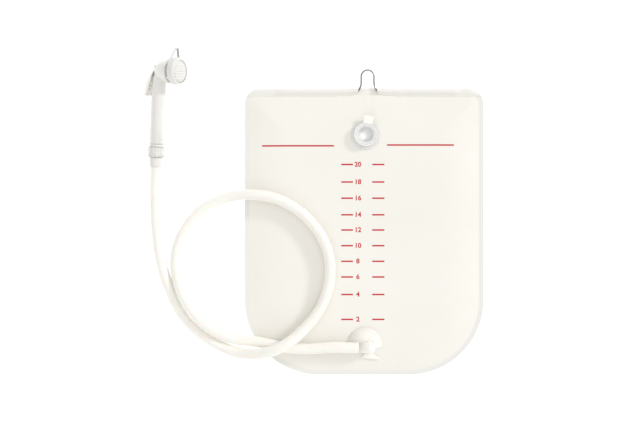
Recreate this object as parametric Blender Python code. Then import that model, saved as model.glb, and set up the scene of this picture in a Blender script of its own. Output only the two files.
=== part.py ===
"""A camp shower bag with its hose and its handset.

The bag lies flat on its back on the plane z = 0, with the hanger towards +Y. The hose leaves the outlet
towards -X, makes one loop and ends in the handset, which lies on its lever's corner and on its nut.
Lengths are in metres and the origin is the middle of the bag's underside.
"""

import math

import bmesh
import bpy
import numpy as np
from mathutils import Matrix, Vector

# General
GAP = 0.0003
OVERRUN = 0.002
ROUND_STEPS = 32
SMALL_STEPS = 16
BORE_PHASE = math.radians(3.7)

# Bag
BAG_WIDTH = 0.352
BAG_HEIGHT = 0.421
BAG_TOP_RADIUS = 0.022
BAG_BOTTOM_RADIUS = 0.110
FILM = 0.0008
WELD_WIDTH = 0.007
BAG_LOFT = 0.0075
BAG_RAMP = 0.060
CORNER_MIN_RADIUS = 0.004
CORNER_STEPS = 8
RAMP_STEPS = 7

# Hem and hanger
HEM_DEPTH = 0.0100
HEM_WALL = 0.0007
HEM_EDGE_INSET = 0.0005
HEM_BASE = 0.0006
HEM_SEAM = 0.0005
WIRE_RADIUS = 0.0012
WIRE_CLEARANCE = 0.0004
WIRE_EDGE_DISTANCE = 0.0027
HANGER_X = 0.005
HANGER_END_INSET = 0.041
HOOK_WIDTH = 0.0212
HOOK_REACH = 0.0319
HOOK_FOOT_SPREAD = 0.0030
HOOK_FOOT_RISE = 0.0080
HOOK_BEND = 0.0024
NOTCH_CLEARANCE = 0.0008
NOTCH_FLARE = 0.006

# Filler
FILLER_X = 0.002
FILLER_EDGE_DISTANCE = 0.068
FILLER_FLANGE_WIDTH = 0.0055
FILLER_FLANGE_THICKNESS = 0.0009
FILLER_NECK_RADIUS = 0.0152
FILLER_NECK_WALL = 0.0024
FILLER_NECK_HEIGHT = 0.0062
FILLER_FILLET = 0.0013
FILLER_SPIGOT_WALL = 0.0008
FILLER_SPIGOT_DEPTH = 0.0022
PLUG_DEPTH = 0.0060
PLUG_RIM_THICKNESS = 0.0013
PLUG_WALL = 0.0018
PLUG_FLOOR = 0.0014
PLUG_LEAD = 0.0006
TAB_RING_WALL = 0.0014
TAB_WIDTH = 0.0139
TAB_LENGTH = 0.0106
TAB_TURN = math.radians(11)

# Outlet
OUTLET_X = 0.0074
OUTLET_EDGE_DISTANCE = 0.0426
PATCH_RADIUS = 0.0260
PATCH_THICKNESS = 0.0011
PATCH_WAIST_WIDTH = 0.0110
PATCH_FOOT_WIDTH = 0.0262
PATCH_FOOT_DEPTH = 0.0185
PATCH_DOME_DROP = 0.0035
PATCH_LEAN = math.radians(-6)
PATCH_STEPS = 20
ELBOW_POST_EXTRA = 0.0003
ELBOW_ARM_LENGTH = 0.0150
ELBOW_BORE_RADIUS = 0.0045
ELBOW_BORE_STEP = 0.0003
ELBOW_WALL = 0.0012
ELBOW_SPIGOT_DEPTH = 0.0025
ELBOW_CROWN_STEPS = 6

# Hose
HOSE_DIAMETER = 0.0160
HOSE_POINTS = 112

# Where the handset lies
HANDSET_X = -0.3036
HANDSET_Y = 0.1286
HANDSET_LEAN = math.radians(-2.8)
HANDSET_PITCH = math.radians(4.2)
HANDSET_ROLL = math.radians(-28)

# Handle, measured along the handle from its lower end
HANDLE_RADIUS = 0.0107
HANDLE_LENGTH = 0.110
HANDLE_EDGE = 0.0008
HANDLE_BORE_RADIUS = 0.0055
FEED_LENGTH = 0.012
SPIGOT_RADIUS = 0.0086
SPIGOT_LENGTH = 0.0115
COLLAR_LENGTH = 0.0038
COLLAR_WALL = 0.0022

# Union nut, insert and ferrule
NUT_WALL = 0.0026
NUT_RIB_DEPTH = 0.0006
NUT_RIBS = 18
NUT_LIP = 0.0031
TAIL_FLANGE_THICKNESS = 0.0020
TAIL_NECK_WALL = 0.0024
TAIL_BORE_RADIUS = 0.0040
WASHER_THICKNESS = 0.0014
WASHER_WIDTH = 0.0034
FERRULE_LENGTH = 0.0142
FERRULE_WALL = 0.0007
FERRULE_TAPER = 0.0008
FERRULE_BEAD = 0.0004
FERRULE_BEAD_LENGTH = 0.0016
FERRULE_GRIP = 0.0092

# Rose, measured along the rose's axis from the handle's axis
ROSE_HEAD_DROP = 0.0037
BELL_BACK_INSET = 0.0051
BELL_FRONT = 0.0215
BELL_RADIUS = 0.0181
BELL_LEDGE = 0.0025
ROSE_THREAD_LENGTH = 0.0051
ROSE_SPIGOT_WALL = 0.0026
BAIL_WIDTH = 0.0040
BAIL_THICKNESS = 0.0010
BAIL_EYE_LENGTH = 0.0189
BAIL_TIP_RADIUS = 0.0032
BAIL_TURN = math.radians(12)
BAIL_RING_STEPS = 30
BAIL_TIP_STEPS = 8
ROSE_RING_WALL = 0.0019
ROSE_RING_BEVEL = 0.0009
ROSE_RING_ROUND = 0.0024
ROSE_LIP = 0.0015
ROSE_LIP_WIDTH = 0.0009
PLATE_LEDGE = 0.0018
PLATE_RIM_THICKNESS = 0.0018
PLATE_CROWN = 0.0014
GASKET_THICKNESS = 0.0013
SPRAY_HOLE_RADIUS = 0.0008
SPRAY_RINGS = 3
SPRAY_EDGE = 0.0036
SPRAY_HOLE_STEPS = 6

# Thumb valve, measured along the rose's direction from the handle's axis
SEAT_FACE = 0.0075
SEAT_WALL = 0.0020
CHAMBER_DEPTH = 0.0050
CHAMBER_RADIUS = 0.0052
SEAT_RADIUS = 0.0026
FEED_MARGIN = 0.0003
STEM_RADIUS = 0.0015
STEM_CLEARANCE = 0.0004
GLAND_WALL = 0.0011
SEAL_POCKET_DEPTH = 0.0014
SEAL_POCKET_WIDTH = 0.0019
GLAND_THICKNESS = 0.0008
SPRING_WIRE_RADIUS = 0.0003
SPRING_TURNS = 3
SPRING_CLEARANCE = 0.0013
SPRING_POCKET_CLEARANCE = 0.0012
SPRING_STEPS = 10
BUTTON_MARGIN = 0.0006
BUTTON_THICKNESS = 0.0014
BUTTON_TIP_RADIUS = 0.0011
BUTTON_DOME = 0.0011
BUTTON_STAND = 0.0039
VALVE_SEAL_OVERLAP = 0.0016
VALVE_SEAL_THICKNESS = 0.0015
VALVE_SEAL_CLEARANCE = 0.0005
BACKING_MARGIN = 0.0005
BACKING_THICKNESS = 0.0011

# Thumb lever
HINGE_SINK = 0.0008
HINGE_RISE = 0.0057
KNUCKLE_RADIUS = 0.0031
KNUCKLE_WIDTH = 0.0096
LEVER_CLEARANCE = 0.0005
HINGE_RELIEF = 0.0071
PIN_RADIUS = 0.0013
PIN_SEAT_LENGTH = 0.0020
LEVER_PLATE = 0.0016
LEVER_WALL = 0.0016
LEVER_HALF_WIDTH = 0.0110
LEVER_LENGTH = 0.0425
LEVER_REST = 0.0009
LEVER_FLANGE = 0.0036

# The rise of the front sheet across its ramp, as shares of the ramp and of the loft
RAMP_POWER = 2

# Handle outline: shares of its length, shift towards the rose and radius as shares of the handle's radius
HANDLE_RING_SHARES = (
    (0.27, 0.00, 1.000),
    (0.55, 0.00, 0.990),
    (0.73, 0.00, 0.970),
    (0.80, 0.02, 0.955),
    (0.87, 0.14, 0.935),
    (0.945, 0.30, 0.900),
    (1.00, 0.40, 0.840),
)

# Bell outline: shares of the way from its back to its front, and shares of its radius
BELL_RING_SHARES = (
    (0.000, 0.23),
    (0.030, 0.38),
    (0.115, 0.56),
    (0.280, 0.72),
    (0.500, 0.86),
    (0.725, 0.95),
    (0.930, 1.00),
)

# Lever: shares of its length from the hinge, depth of its inner face from the hinge as a share of its tip's,
# half width as a share of its widest, and flange depth as a share of the deepest
LEVER_RING_SHARES = (
    (0.024, 0.032, 0.418, 0.08),
    (0.082, 0.063, 0.418, 0.08),
    (0.129, 0.155, 0.510, 0.08),
    (0.188, 0.238, 0.640, 0.20),
    (0.282, 0.381, 0.818, 0.55),
    (0.447, 0.603, 0.909, 0.94),
    (0.602, 0.754, 0.964, 1.00),
    (0.753, 0.865, 1.000, 0.94),
    (0.871, 0.937, 1.000, 0.78),
    (0.965, 0.984, 0.982, 0.50),
    (1.000, 1.000, 0.900, 0.33),
)

# The patch's foot on one side, from the dome down: half widths as shares of the waist and of the foot,
# and depths as shares of the foot's depth
PATCH_FOOT_SHARES = ((1.50, 0.00, 0.34), (1.00, 0.00, 0.55), (0.00, 1.00, 0.86), (0.00, 0.94, 1.00))

# The spray plate's front: shares of its radius and of its crown
PLATE_CROWN_SHARES = ((0.75, 0.55), (0.40, 0.90), (0.00, 1.00))

# Where the hook's legs turn into its arms: shares of its bend, across and up
HOOK_BEND_SHARES = ((1.0, 0.0), (0.6, 0.15), (0.2, 0.6))

# The hose's middle line from the outlet to the handset, chosen by eye: x, y and height
HOSE_ROUTE = (
    (-0.0444, -0.1682, 0.0175),
    (-0.0735, -0.1702, 0.0169),
    (-0.1027, -0.1701, 0.0150),
    (-0.1315, -0.1660, 0.0130),
    (-0.1601, -0.1605, 0.0108),
    (-0.1889, -0.1564, 0.0123),
    (-0.2157, -0.1460, 0.0166),
    (-0.2394, -0.1292, 0.0183),
    (-0.2578, -0.1066, 0.0181),
    (-0.2702, -0.0804, 0.0153),
    (-0.2763, -0.0523, 0.0103),
    (-0.2745, -0.0234, 0.0084),
    (-0.2628, 0.0032, 0.0084),
    (-0.2448, 0.0262, 0.0084),
    (-0.2212, 0.0432, 0.0084),
    (-0.1937, 0.0524, 0.0104),
    (-0.1651, 0.0544, 0.0155),
    (-0.1363, 0.0507, 0.0180),
    (-0.1093, 0.0396, 0.0179),
    (-0.0859, 0.0224, 0.0179),
    (-0.0671, 0.0001, 0.0178),
    (-0.0543, -0.0261, 0.0178),
    (-0.0500, -0.0549, 0.0178),
    (-0.0536, -0.0838, 0.0178),
    (-0.0644, -0.1108, 0.0185),
    (-0.0815, -0.1342, 0.0217),
    (-0.1023, -0.1537, 0.0278),
    (-0.1268, -0.1691, 0.0302),
    (-0.1535, -0.1776, 0.0227),
    (-0.1808, -0.1776, 0.0129),
    (-0.2082, -0.1688, 0.0089),
    (-0.2333, -0.1540, 0.0083),
    (-0.2555, -0.1350, 0.0084),
    (-0.2729, -0.1116, 0.0084),
    (-0.2852, -0.0851, 0.0084),
    (-0.2949, -0.0576, 0.0084),
    (-0.3009, -0.0291, 0.0084),
    (-0.3045, -0.0001, 0.0084),
    (-0.3063, 0.0291, 0.0084),
    (-0.3067, 0.0583, 0.0088),
)


def unit_direction(angle):
    return Vector((math.cos(angle), math.sin(angle)))


def film_rise(distance):
    """Height of the front sheet above its weld, at a distance from the bag's edge."""
    share = min(max((distance - WELD_WIDTH) / BAG_RAMP, 0), 1)
    return BAG_LOFT * (1 - (1 - share) ** RAMP_POWER)


FRONT_BOTTOM = FILM + GAP
FRONT_TOP = FRONT_BOTTOM + FILM
TOP_WELD_EXTRA = HEM_EDGE_INSET + HEM_DEPTH + HEM_SEAM - WELD_WIDTH
FILLER_Y = BAG_HEIGHT / 2 - FILLER_EDGE_DISTANCE
OUTLET_Y = OUTLET_EDGE_DISTANCE - BAG_HEIGHT / 2


def film_seat(edge_distance, radius):
    """Height and slope of a flat plate of this radius that rests on the front sheet."""
    slope = (film_rise(edge_distance + radius) - film_rise(edge_distance - radius)) / (2 * radius)
    chord_shares = [k / RAMP_STEPS for k in range(-RAMP_STEPS, RAMP_STEPS + 1)]
    highest = max(film_rise(edge_distance + s * radius) - slope * s * radius for s in chord_shares)
    return FRONT_TOP + highest + GAP, math.atan(slope)


def bag_outline(inset, top_extra=0):
    """The bag's outline moved inwards, with the same number of points at every inset."""
    half_width = BAG_WIDTH / 2 - inset
    half_height = BAG_HEIGHT / 2 - inset
    corners = (
        (1, 1, BAG_TOP_RADIUS, 0),
        (-1, 1, BAG_TOP_RADIUS, 1),
        (-1, -1, BAG_BOTTOM_RADIUS, 2),
        (1, -1, BAG_BOTTOM_RADIUS, 3),
    )
    points = []
    for side, up, full_radius, quarter in corners:
        radius = max(full_radius - inset, CORNER_MIN_RADIUS)
        centre = Vector((side * (half_width - radius), up * (half_height - radius)))
        for step in range(CORNER_STEPS + 1):
            angle = math.pi / 2 * (quarter + step / CORNER_STEPS)
            drop = Vector((0, top_extra if up > 0 else 0))
            points.append(centre + radius * unit_direction(angle) - drop)
    return points


def finish(name, colour, roughness, metallic=0.0, alpha=1.0):
    material = bpy.data.materials.new(name)
    material.use_nodes = True
    shader = material.node_tree.nodes["Principled BSDF"]
    shader.inputs["Base Color"].default_value = (*colour, 1.0)
    shader.inputs["Roughness"].default_value = roughness
    shader.inputs["Metallic"].default_value = metallic
    shader.inputs["Alpha"].default_value = alpha
    return material


WHITE_FILM = ((0.92, 0.91, 0.87), 0.35)
WHITE_VINYL = ((0.93, 0.92, 0.89), 0.35)
WHITE_PLASTIC = ((0.90, 0.89, 0.86), 0.25)
CLEAR_VINYL = ((0.80, 0.82, 0.80), 0.12)
STEEL = ((0.55, 0.55, 0.56), 0.25, 1.0)
CHROME = ((0.78, 0.78, 0.80), 0.12, 1.0)
BLACK_RUBBER = ((0.06, 0.06, 0.06), 0.7)


def new_object(name, data, look, parent=None, place=None):
    """One named object with a material of its own, placed under its parent."""
    made = bpy.data.objects.new(name, data)
    bpy.context.scene.collection.objects.link(made)
    if look:
        data.materials.append(finish(name, *look))
    if parent:
        made.parent = parent
    if place is not None:
        made.matrix_local = place
    return made


def new_mesh_object(name, build, look, parent=None, place=None):
    """An object whose mesh is filled in by build, with faces pointing out and rounds shaded smooth."""
    mesh = bpy.data.meshes.new(name)
    work = bmesh.new()
    build(work)
    bmesh.ops.remove_doubles(work, verts=work.verts, dist=GAP / 100)
    bmesh.ops.recalc_face_normals(work, faces=work.faces)
    work.to_mesh(mesh)
    work.free()
    mesh.shade_smooth()
    mesh.set_sharp_from_angle(angle=math.radians(35))
    return new_object(name, mesh, look, parent, place)


def empty(name, parent=None, place=None):
    return new_object(name, None, None, parent, place)


def add_lofted(work, rings, closed=False):
    """Skins a row of rings of equal length. An open row is capped at both ends."""
    rows = [[work.verts.new(point) for point in ring] for ring in rings]
    pairs = list(zip(rows, rows[1:]))
    if closed:
        pairs.append((rows[-1], rows[0]))
    for lower, upper in pairs:
        for here in range(len(lower)):
            following = (here + 1) % len(lower)
            work.faces.new((lower[here], lower[following], upper[following], upper[here]))
    if not closed:
        work.faces.new(rows[0][::-1])
        work.faces.new(rows[-1])


def lofted(rings, closed=False):
    return lambda work: add_lofted(work, rings, closed)


def turned(profile, steps=ROUND_STEPS):
    """A closed profile of (radius, height) points turned round the local Z axis."""

    def build(work):
        points = [work.verts.new((radius, 0, height)) for radius, height in profile]
        for here, point in enumerate(points):
            following = points[(here + 1) % len(points)]
            if point.co.x or following.co.x:
                work.edges.new((point, following))
        bmesh.ops.spin(
            work,
            geom=work.verts[:] + work.edges[:],
            cent=(0, 0, 0),
            axis=(0, 0, 1),
            angle=math.tau,
            steps=steps,
            use_merge=True,
        )

    return build


def plate(outline, bottom, top):
    """A flat plate between two heights with this outline."""

    def build(work):
        face = work.faces.new([work.verts.new((x, y, bottom)) for x, y in outline])
        raised = bmesh.ops.extrude_face_region(work, geom=[face])["geom"]
        moved = [item for item in raised if isinstance(item, bmesh.types.BMVert)]
        bmesh.ops.translate(work, verts=moved, vec=(0, 0, top - bottom))

    return build


def box(low, high):
    outline = ((low[0], low[1]), (high[0], low[1]), (high[0], high[1]), (low[0], high[1]))
    return plate(outline, low[2], high[2])


def rod(radius, low, high):
    return turned(((0, low), (radius, low), (radius, high), (0, high)))


def washer(inner, outer, low, high, steps=ROUND_STEPS):
    return turned(((inner, low), (outer, low), (outer, high), (inner, high)), steps)


def helper_object(name, build, parent=None, place=None):
    """A shape that only shapes another object."""
    made = new_mesh_object(name, build, None, parent, place)
    made.hide_render = True
    made.display_type = "WIRE"
    return made


def combine(target, other, operation):
    step = target.modifiers.new(other.name, "BOOLEAN")
    step.object = other
    step.operation = operation
    step.solver = "EXACT"


def cut(target, name, build, parent=None, place=None):
    combine(target, helper_object(f"{target.name}_{name}", build, parent, place), "DIFFERENCE")


def bore(target, name, radius, low, high, parent=None, place=None):
    """A round hole. Each one is turned a little further, so that no two holes share their corners."""
    turn = Matrix.Rotation(BORE_PHASE * (1 + len(target.modifiers)), 4, "Z")
    place = (place or Matrix.Identity(4)) @ turn
    cut(target, name, rod(radius, low, high), parent, place)


def add(target, name, build, parent=None, place=None):
    combine(target, helper_object(f"{target.name}_{name}", build, parent, place), "UNION")


def smooth_line(points, count):
    """Evenly spaced points on the natural cubic spline through some points."""
    given = np.array(points, float)
    knots = np.concatenate([[0], np.cumsum(np.linalg.norm(np.diff(given, axis=0), axis=1))])
    spans = np.diff(knots)
    size = len(given)
    matrix = np.eye(size)
    right = np.zeros_like(given)
    for row in range(1, size - 1):
        matrix[row, row - 1 : row + 2] = spans[row - 1], 2 * (spans[row - 1] + spans[row]), spans[row]
        slopes = np.diff(given[row - 1 : row + 2], axis=0) / spans[row - 1 : row + 1, None]
        right[row] = 6 * (slopes[1] - slopes[0])
    bends = np.linalg.solve(matrix, right)

    def at(place):
        span = min(max(np.searchsorted(knots, place) - 1, 0), size - 2)
        ahead, behind, width = knots[span + 1] - place, place - knots[span], spans[span]
        return (
            bends[span] * ahead**3 / (6 * width)
            + bends[span + 1] * behind**3 / (6 * width)
            + (given[span] / width - bends[span] * width / 6) * ahead
            + (given[span + 1] / width - bends[span + 1] * width / 6) * behind
        )

    fine = np.array([at(place) for place in np.linspace(0, knots[-1], 12 * count)])
    along = np.concatenate([[0], np.cumsum(np.linalg.norm(np.diff(fine, axis=0), axis=1))])
    even = np.linspace(0, along[-1], count)
    return np.stack([np.interp(even, along, fine[:, axis]) for axis in range(3)], axis=1)


def least_gap(points, radius):
    """Least distance between two stretches of a tube that lie well apart along it."""
    line = np.array([tuple(point) for point in points])
    steps = np.linalg.norm(np.diff(line, axis=0), axis=1)
    fine = np.concatenate([np.linspace(a, b, 8, endpoint=False) for a, b in zip(line, line[1:])])
    along = np.arange(len(fine)) / 8 * steps.mean()
    apart = np.abs(along[:, None] - along) > math.tau * radius
    between = np.linalg.norm(fine[:, None] - fine, axis=2)
    return between[apart].min() - 2 * radius


def tube(name, points, radius, look, parent=None, place=None, resolution=2, closed=False):
    """A round tube along a line of points, as a curve with a bevel and filled caps."""
    curve = bpy.data.curves.new(name, "CURVE")
    curve.dimensions = "3D"
    curve.bevel_depth = radius
    curve.bevel_resolution = resolution
    curve.use_fill_caps = True
    spline = curve.splines.new("POLY")
    spline.points.add(len(points) - 1)
    spline.use_cyclic_u = closed
    for item, point in zip(spline.points, points):
        item.co = (*point, 1)
    return new_object(name, curve, look, parent, place)


def arc(centre, radius, start, end, steps):
    """Points on an arc in a plane, from one angle to another."""
    angles = [start + (end - start) * step / steps for step in range(steps + 1)]
    return [Vector(centre) + radius * unit_direction(angle) for angle in angles]


# Bag


def rear_panel():
    new_mesh_object("rear_panel", plate(bag_outline(0), 0, FILM), WHITE_FILM)


def front_panel():
    """The front sheet: flat at the weld, then rising over the ramp to a level top."""
    insets = [0, WELD_WIDTH] + [WELD_WIDTH + BAG_RAMP * (step + 1) / RAMP_STEPS for step in range(RAMP_STEPS)]

    def sheet(height):
        outlines = [(inset, bag_outline(inset, TOP_WELD_EXTRA if inset else 0)) for inset in insets]
        return [[(x, y, height + film_rise(inset)) for x, y in outline] for inset, outline in outlines]

    rings = sheet(FRONT_BOTTOM)[::-1] + sheet(FRONT_TOP)
    panel = new_mesh_object("front_panel", lofted(rings), WHITE_FILM)
    hole_top = FRONT_TOP + BAG_LOFT + OVERRUN
    filler = Matrix.Translation((FILLER_X, FILLER_Y, 0))
    bore(panel, "filler_hole", filler_spigot_radius() + GAP, FILM, hole_top, place=filler)
    outlet = Matrix.Translation((OUTLET_X, OUTLET_Y, 0))
    bore(panel, "outlet_hole", elbow_spigot_radius() + GAP, FILM, hole_top, place=outlet)


# Hem and hanger


def hem_bottom():
    return FRONT_TOP + GAP


def hem_half_height():
    return WIRE_RADIUS + WIRE_CLEARANCE + HEM_WALL


def wire_height():
    return hem_bottom() + hem_half_height()


def hem_line_y():
    return BAG_HEIGHT / 2 - HEM_EDGE_INSET - HEM_DEPTH / 2


def wire_shift():
    return HEM_DEPTH / 2 - WIRE_EDGE_DISTANCE


def wire_line_y():
    return hem_line_y() + wire_shift()


def hook_half():
    return HOOK_WIDTH / 2 - WIRE_RADIUS


def hook_foot():
    return hook_half() + HOOK_FOOT_SPREAD


def top_hem():
    """The channel along the top edge, cut to the bag's outline and open in the middle."""
    upright = Matrix.Rotation(math.pi / 2, 4, "Z") @ Matrix.Rotation(math.pi / 2, 4, "X")
    half_depth = HEM_DEPTH / 2
    half_height = hem_half_height()
    crown = [
        Vector((half_depth * math.cos(angle), half_height * math.sin(angle)))
        for angle in (math.pi * step / CORNER_STEPS for step in range(CORNER_STEPS + 1))
    ]
    section = [(-half_depth, -half_height), (half_depth, -half_height), *crown]
    middle = Matrix.Translation((0, hem_line_y(), wire_height())) @ upright
    strip = plate(section, -BAG_WIDTH / 2, BAG_WIDTH / 2)
    hem = new_mesh_object("top_hem", strip, WHITE_FILM, place=middle)
    above = wire_height() + half_height + OVERRUN
    outline = helper_object("top_hem_outline", plate(bag_outline(HEM_EDGE_INSET), 0, above))
    combine(hem, outline, "INTERSECT")
    end = BAG_WIDTH / 2 + OVERRUN
    wire = Matrix.Translation((0, wire_shift(), 0)) @ middle
    bore(hem, "bore", WIRE_RADIUS + WIRE_CLEARANCE, -end, end, place=wire)
    near = hem_line_y() - half_depth - OVERRUN
    far = hem_line_y() + half_depth + OVERRUN
    outer = hook_foot() + 2 * HOOK_BEND + NOTCH_CLEARANCE
    inner = outer + NOTCH_FLARE
    notch = (
        (HANGER_X - inner, near),
        (HANGER_X + inner, near),
        (HANGER_X + outer, far),
        (HANGER_X - outer, far),
    )
    cut(hem, "notch", plate(notch, hem_bottom() + HEM_BASE, above))


def hanger_wire():
    """One wire: an arm, a foot, the hook's legs and round top, and the other foot and arm."""
    half = hook_half()
    foot = hook_foot()
    crown_y = HOOK_REACH - WIRE_RADIUS - half
    arm = BAG_WIDTH / 2 - HANGER_END_INSET - HANGER_X
    leg = foot + HOOK_BEND
    corner = [(leg + x * HOOK_BEND, y * HOOK_BEND) for x, y in HOOK_BEND_SHARES]
    rise = [(half + HOOK_FOOT_SPREAD / 4, HOOK_FOOT_RISE), (half, HOOK_FOOT_RISE + HOOK_BEND)]
    right = [(arm, 0), *corner, *rise]
    crown = [(x, y) for x, y in arc((0, crown_y), half, 0, math.pi, 2 * CORNER_STEPS)]
    line = right + crown + [(-x, y) for x, y in reversed(right)]
    place = Matrix.Translation((HANGER_X, wire_line_y(), wire_height()))
    tube("hanger_wire", [(x, y, 0) for x, y in line], WIRE_RADIUS, STEEL, place=place)


# Filler


def neck_bore_radius():
    return FILLER_NECK_RADIUS - FILLER_NECK_WALL


def filler_spigot_radius():
    return neck_bore_radius() + FILLER_SPIGOT_WALL


def filler_flange_radius():
    return FILLER_NECK_RADIUS + FILLER_FILLET + FILLER_FLANGE_WIDTH


def filler_seat():
    """The empty that carries the filler: its Z axis is square to the front sheet."""
    edge_distance = BAG_HEIGHT / 2 - TOP_WELD_EXTRA - FILLER_Y
    height, slope = film_seat(edge_distance, filler_flange_radius())
    place = Matrix.Translation((FILLER_X, FILLER_Y, height)) @ Matrix.Rotation(-slope, 4, "X")
    return empty("filler_seat", place=place)


def filler_neck(seat):
    inner = neck_bore_radius()
    spigot = filler_spigot_radius()
    flange = filler_flange_radius()
    profile = (
        (inner, -FILLER_SPIGOT_DEPTH),
        (spigot, -FILLER_SPIGOT_DEPTH),
        (spigot, 0),
        (flange, 0),
        (flange, FILLER_FLANGE_THICKNESS / 2),
        (flange - FILLER_FLANGE_THICKNESS, FILLER_FLANGE_THICKNESS),
        (FILLER_NECK_RADIUS + FILLER_FILLET, FILLER_FLANGE_THICKNESS),
        (FILLER_NECK_RADIUS, FILLER_FLANGE_THICKNESS + FILLER_FILLET),
        (FILLER_NECK_RADIUS, FILLER_NECK_HEIGHT),
        (inner, FILLER_NECK_HEIGHT),
    )
    new_mesh_object("filler_neck", turned(profile), CLEAR_VINYL, seat)


def filler_plug(seat):
    """The stopper: a cup that fits the neck, with a rim that rests on the neck's end."""
    outer = neck_bore_radius() - GAP
    recess = outer - PLUG_WALL
    rim_low = FILLER_NECK_HEIGHT + GAP
    rim_high = rim_low + PLUG_RIM_THICKNESS
    bottom = rim_low - PLUG_DEPTH
    profile = (
        (0, bottom),
        (outer - PLUG_LEAD, bottom),
        (outer, bottom + PLUG_LEAD),
        (outer, rim_low),
        (FILLER_NECK_RADIUS, rim_low),
        (FILLER_NECK_RADIUS, rim_high),
        (recess + PLUG_LEAD, rim_high),
        (recess, rim_high - PLUG_LEAD),
        (recess, bottom + PLUG_FLOOR),
        (0, bottom + PLUG_FLOOR),
    )
    new_mesh_object("filler_plug", turned(profile), CLEAR_VINYL, seat)
    return rim_low, rim_high


def plug_tab(seat, low, high):
    """The pull tab: a ring round the stopper's rim with a flat tongue."""
    inner = FILLER_NECK_RADIUS + GAP
    outer = inner + TAB_RING_WALL
    tab = new_mesh_object("plug_tab", washer(inner, outer, low, high), WHITE_VINYL, seat)
    start = (inner + outer) / 2
    tongue = box((-TAB_WIDTH / 2, start, low), (TAB_WIDTH / 2, outer + TAB_LENGTH, high))
    turn = Matrix.Rotation(-TAB_TURN, 4, "Z")
    add(tab, "tongue", tongue, seat, turn)
    bore(tab, "rim", inner, low - OVERRUN, high + OVERRUN, seat)


# Outlet


def elbow_spigot_radius():
    return ELBOW_BORE_RADIUS + ELBOW_WALL


def outlet_seat():
    """The empty that carries the outlet: its Z axis is square to the front sheet."""
    height, slope = film_seat(BAG_HEIGHT / 2 + OUTLET_Y, PATCH_RADIUS)
    place = Matrix.Translation((OUTLET_X, OUTLET_Y, height)) @ Matrix.Rotation(slope, 4, "X")
    return empty("outlet_seat", place=place)


def outlet_patch(seat):
    """The welded patch: a round dome, a narrow waist and a flared foot."""
    waist = PATCH_WAIST_WIDTH / 2
    foot = PATCH_FOOT_WIDTH / 2
    dome = arc((0, -PATCH_DOME_DROP), PATCH_RADIUS, 0, math.pi, PATCH_STEPS)
    right = [(w * waist + f * foot, -d * PATCH_FOOT_DEPTH) for w, f, d in PATCH_FOOT_SHARES]
    outline = dome + [(-x, y) for x, y in right] + list(reversed(right))
    lean = Matrix.Rotation(PATCH_LEAN, 4, "Z")
    patch = new_mesh_object("outlet_patch", plate(outline, 0, PATCH_THICKNESS), WHITE_VINYL, seat, lean)
    bore(patch, "hole", elbow_spigot_radius() + GAP, -OVERRUN, PATCH_THICKNESS + OVERRUN, seat)


def elbow_radius():
    return HOSE_DIAMETER / 2 + ELBOW_POST_EXTRA


def elbow_arm_height():
    return PATCH_THICKNESS + GAP + elbow_radius()


def outlet_elbow(seat):
    """The elbow: a post with a round crown and a level arm towards -X, bored through."""
    base = PATCH_THICKNESS + GAP
    arm = elbow_arm_height()
    post = elbow_radius()
    crown = [
        (post * math.cos(angle), arm + post * math.sin(angle))
        for angle in (math.pi / 2 * step / ELBOW_CROWN_STEPS for step in range(ELBOW_CROWN_STEPS))
    ]
    spigot = elbow_spigot_radius()
    profile = (
        (0, -ELBOW_SPIGOT_DEPTH),
        (spigot, -ELBOW_SPIGOT_DEPTH),
        (spigot, base),
        (post, base),
        *crown,
        (0, arm + post),
    )
    elbow = new_mesh_object("outlet_elbow", turned(profile), WHITE_VINYL, seat)
    level = Matrix.Translation((0, 0, arm)) @ Matrix.Rotation(-math.pi / 2, 4, "Y")
    add(elbow, "arm", rod(HOSE_DIAMETER / 2, 0, ELBOW_ARM_LENGTH), seat, level)
    bore(elbow, "arm_bore", ELBOW_BORE_RADIUS, 0, ELBOW_ARM_LENGTH + OVERRUN, seat, level)
    post_bore = ELBOW_BORE_RADIUS - ELBOW_BORE_STEP
    bore(elbow, "post_bore", post_bore, -ELBOW_SPIGOT_DEPTH - OVERRUN, arm, seat)


def hose_start(seat):
    """The hose's first points, straight out of the elbow's arm."""
    face = ELBOW_ARM_LENGTH + GAP
    points = [Vector((-face, 0, elbow_arm_height())), Vector((-face - HOSE_DIAMETER / 2, 0, elbow_arm_height()))]
    return [seat.matrix_world @ point for point in points]


# Handset


def handset_frame():
    """X is the rose's direction, Y runs along the handle towards the head and Z is across them.

    The handset lies with the nut's lower edge on the ground.
    """
    edge = nut_radius() * math.cos(HANDSET_PITCH) - nut_bottom() * math.sin(HANDSET_PITCH)
    turn = (
        Matrix.Rotation(HANDSET_LEAN, 4, "Z")
        @ Matrix.Rotation(HANDSET_PITCH, 4, "X")
        @ Matrix.Rotation(HANDSET_ROLL, 4, "Y")
    )
    return empty("handset", place=Matrix.Translation((HANDSET_X, HANDSET_Y, edge)) @ turn)


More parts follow.
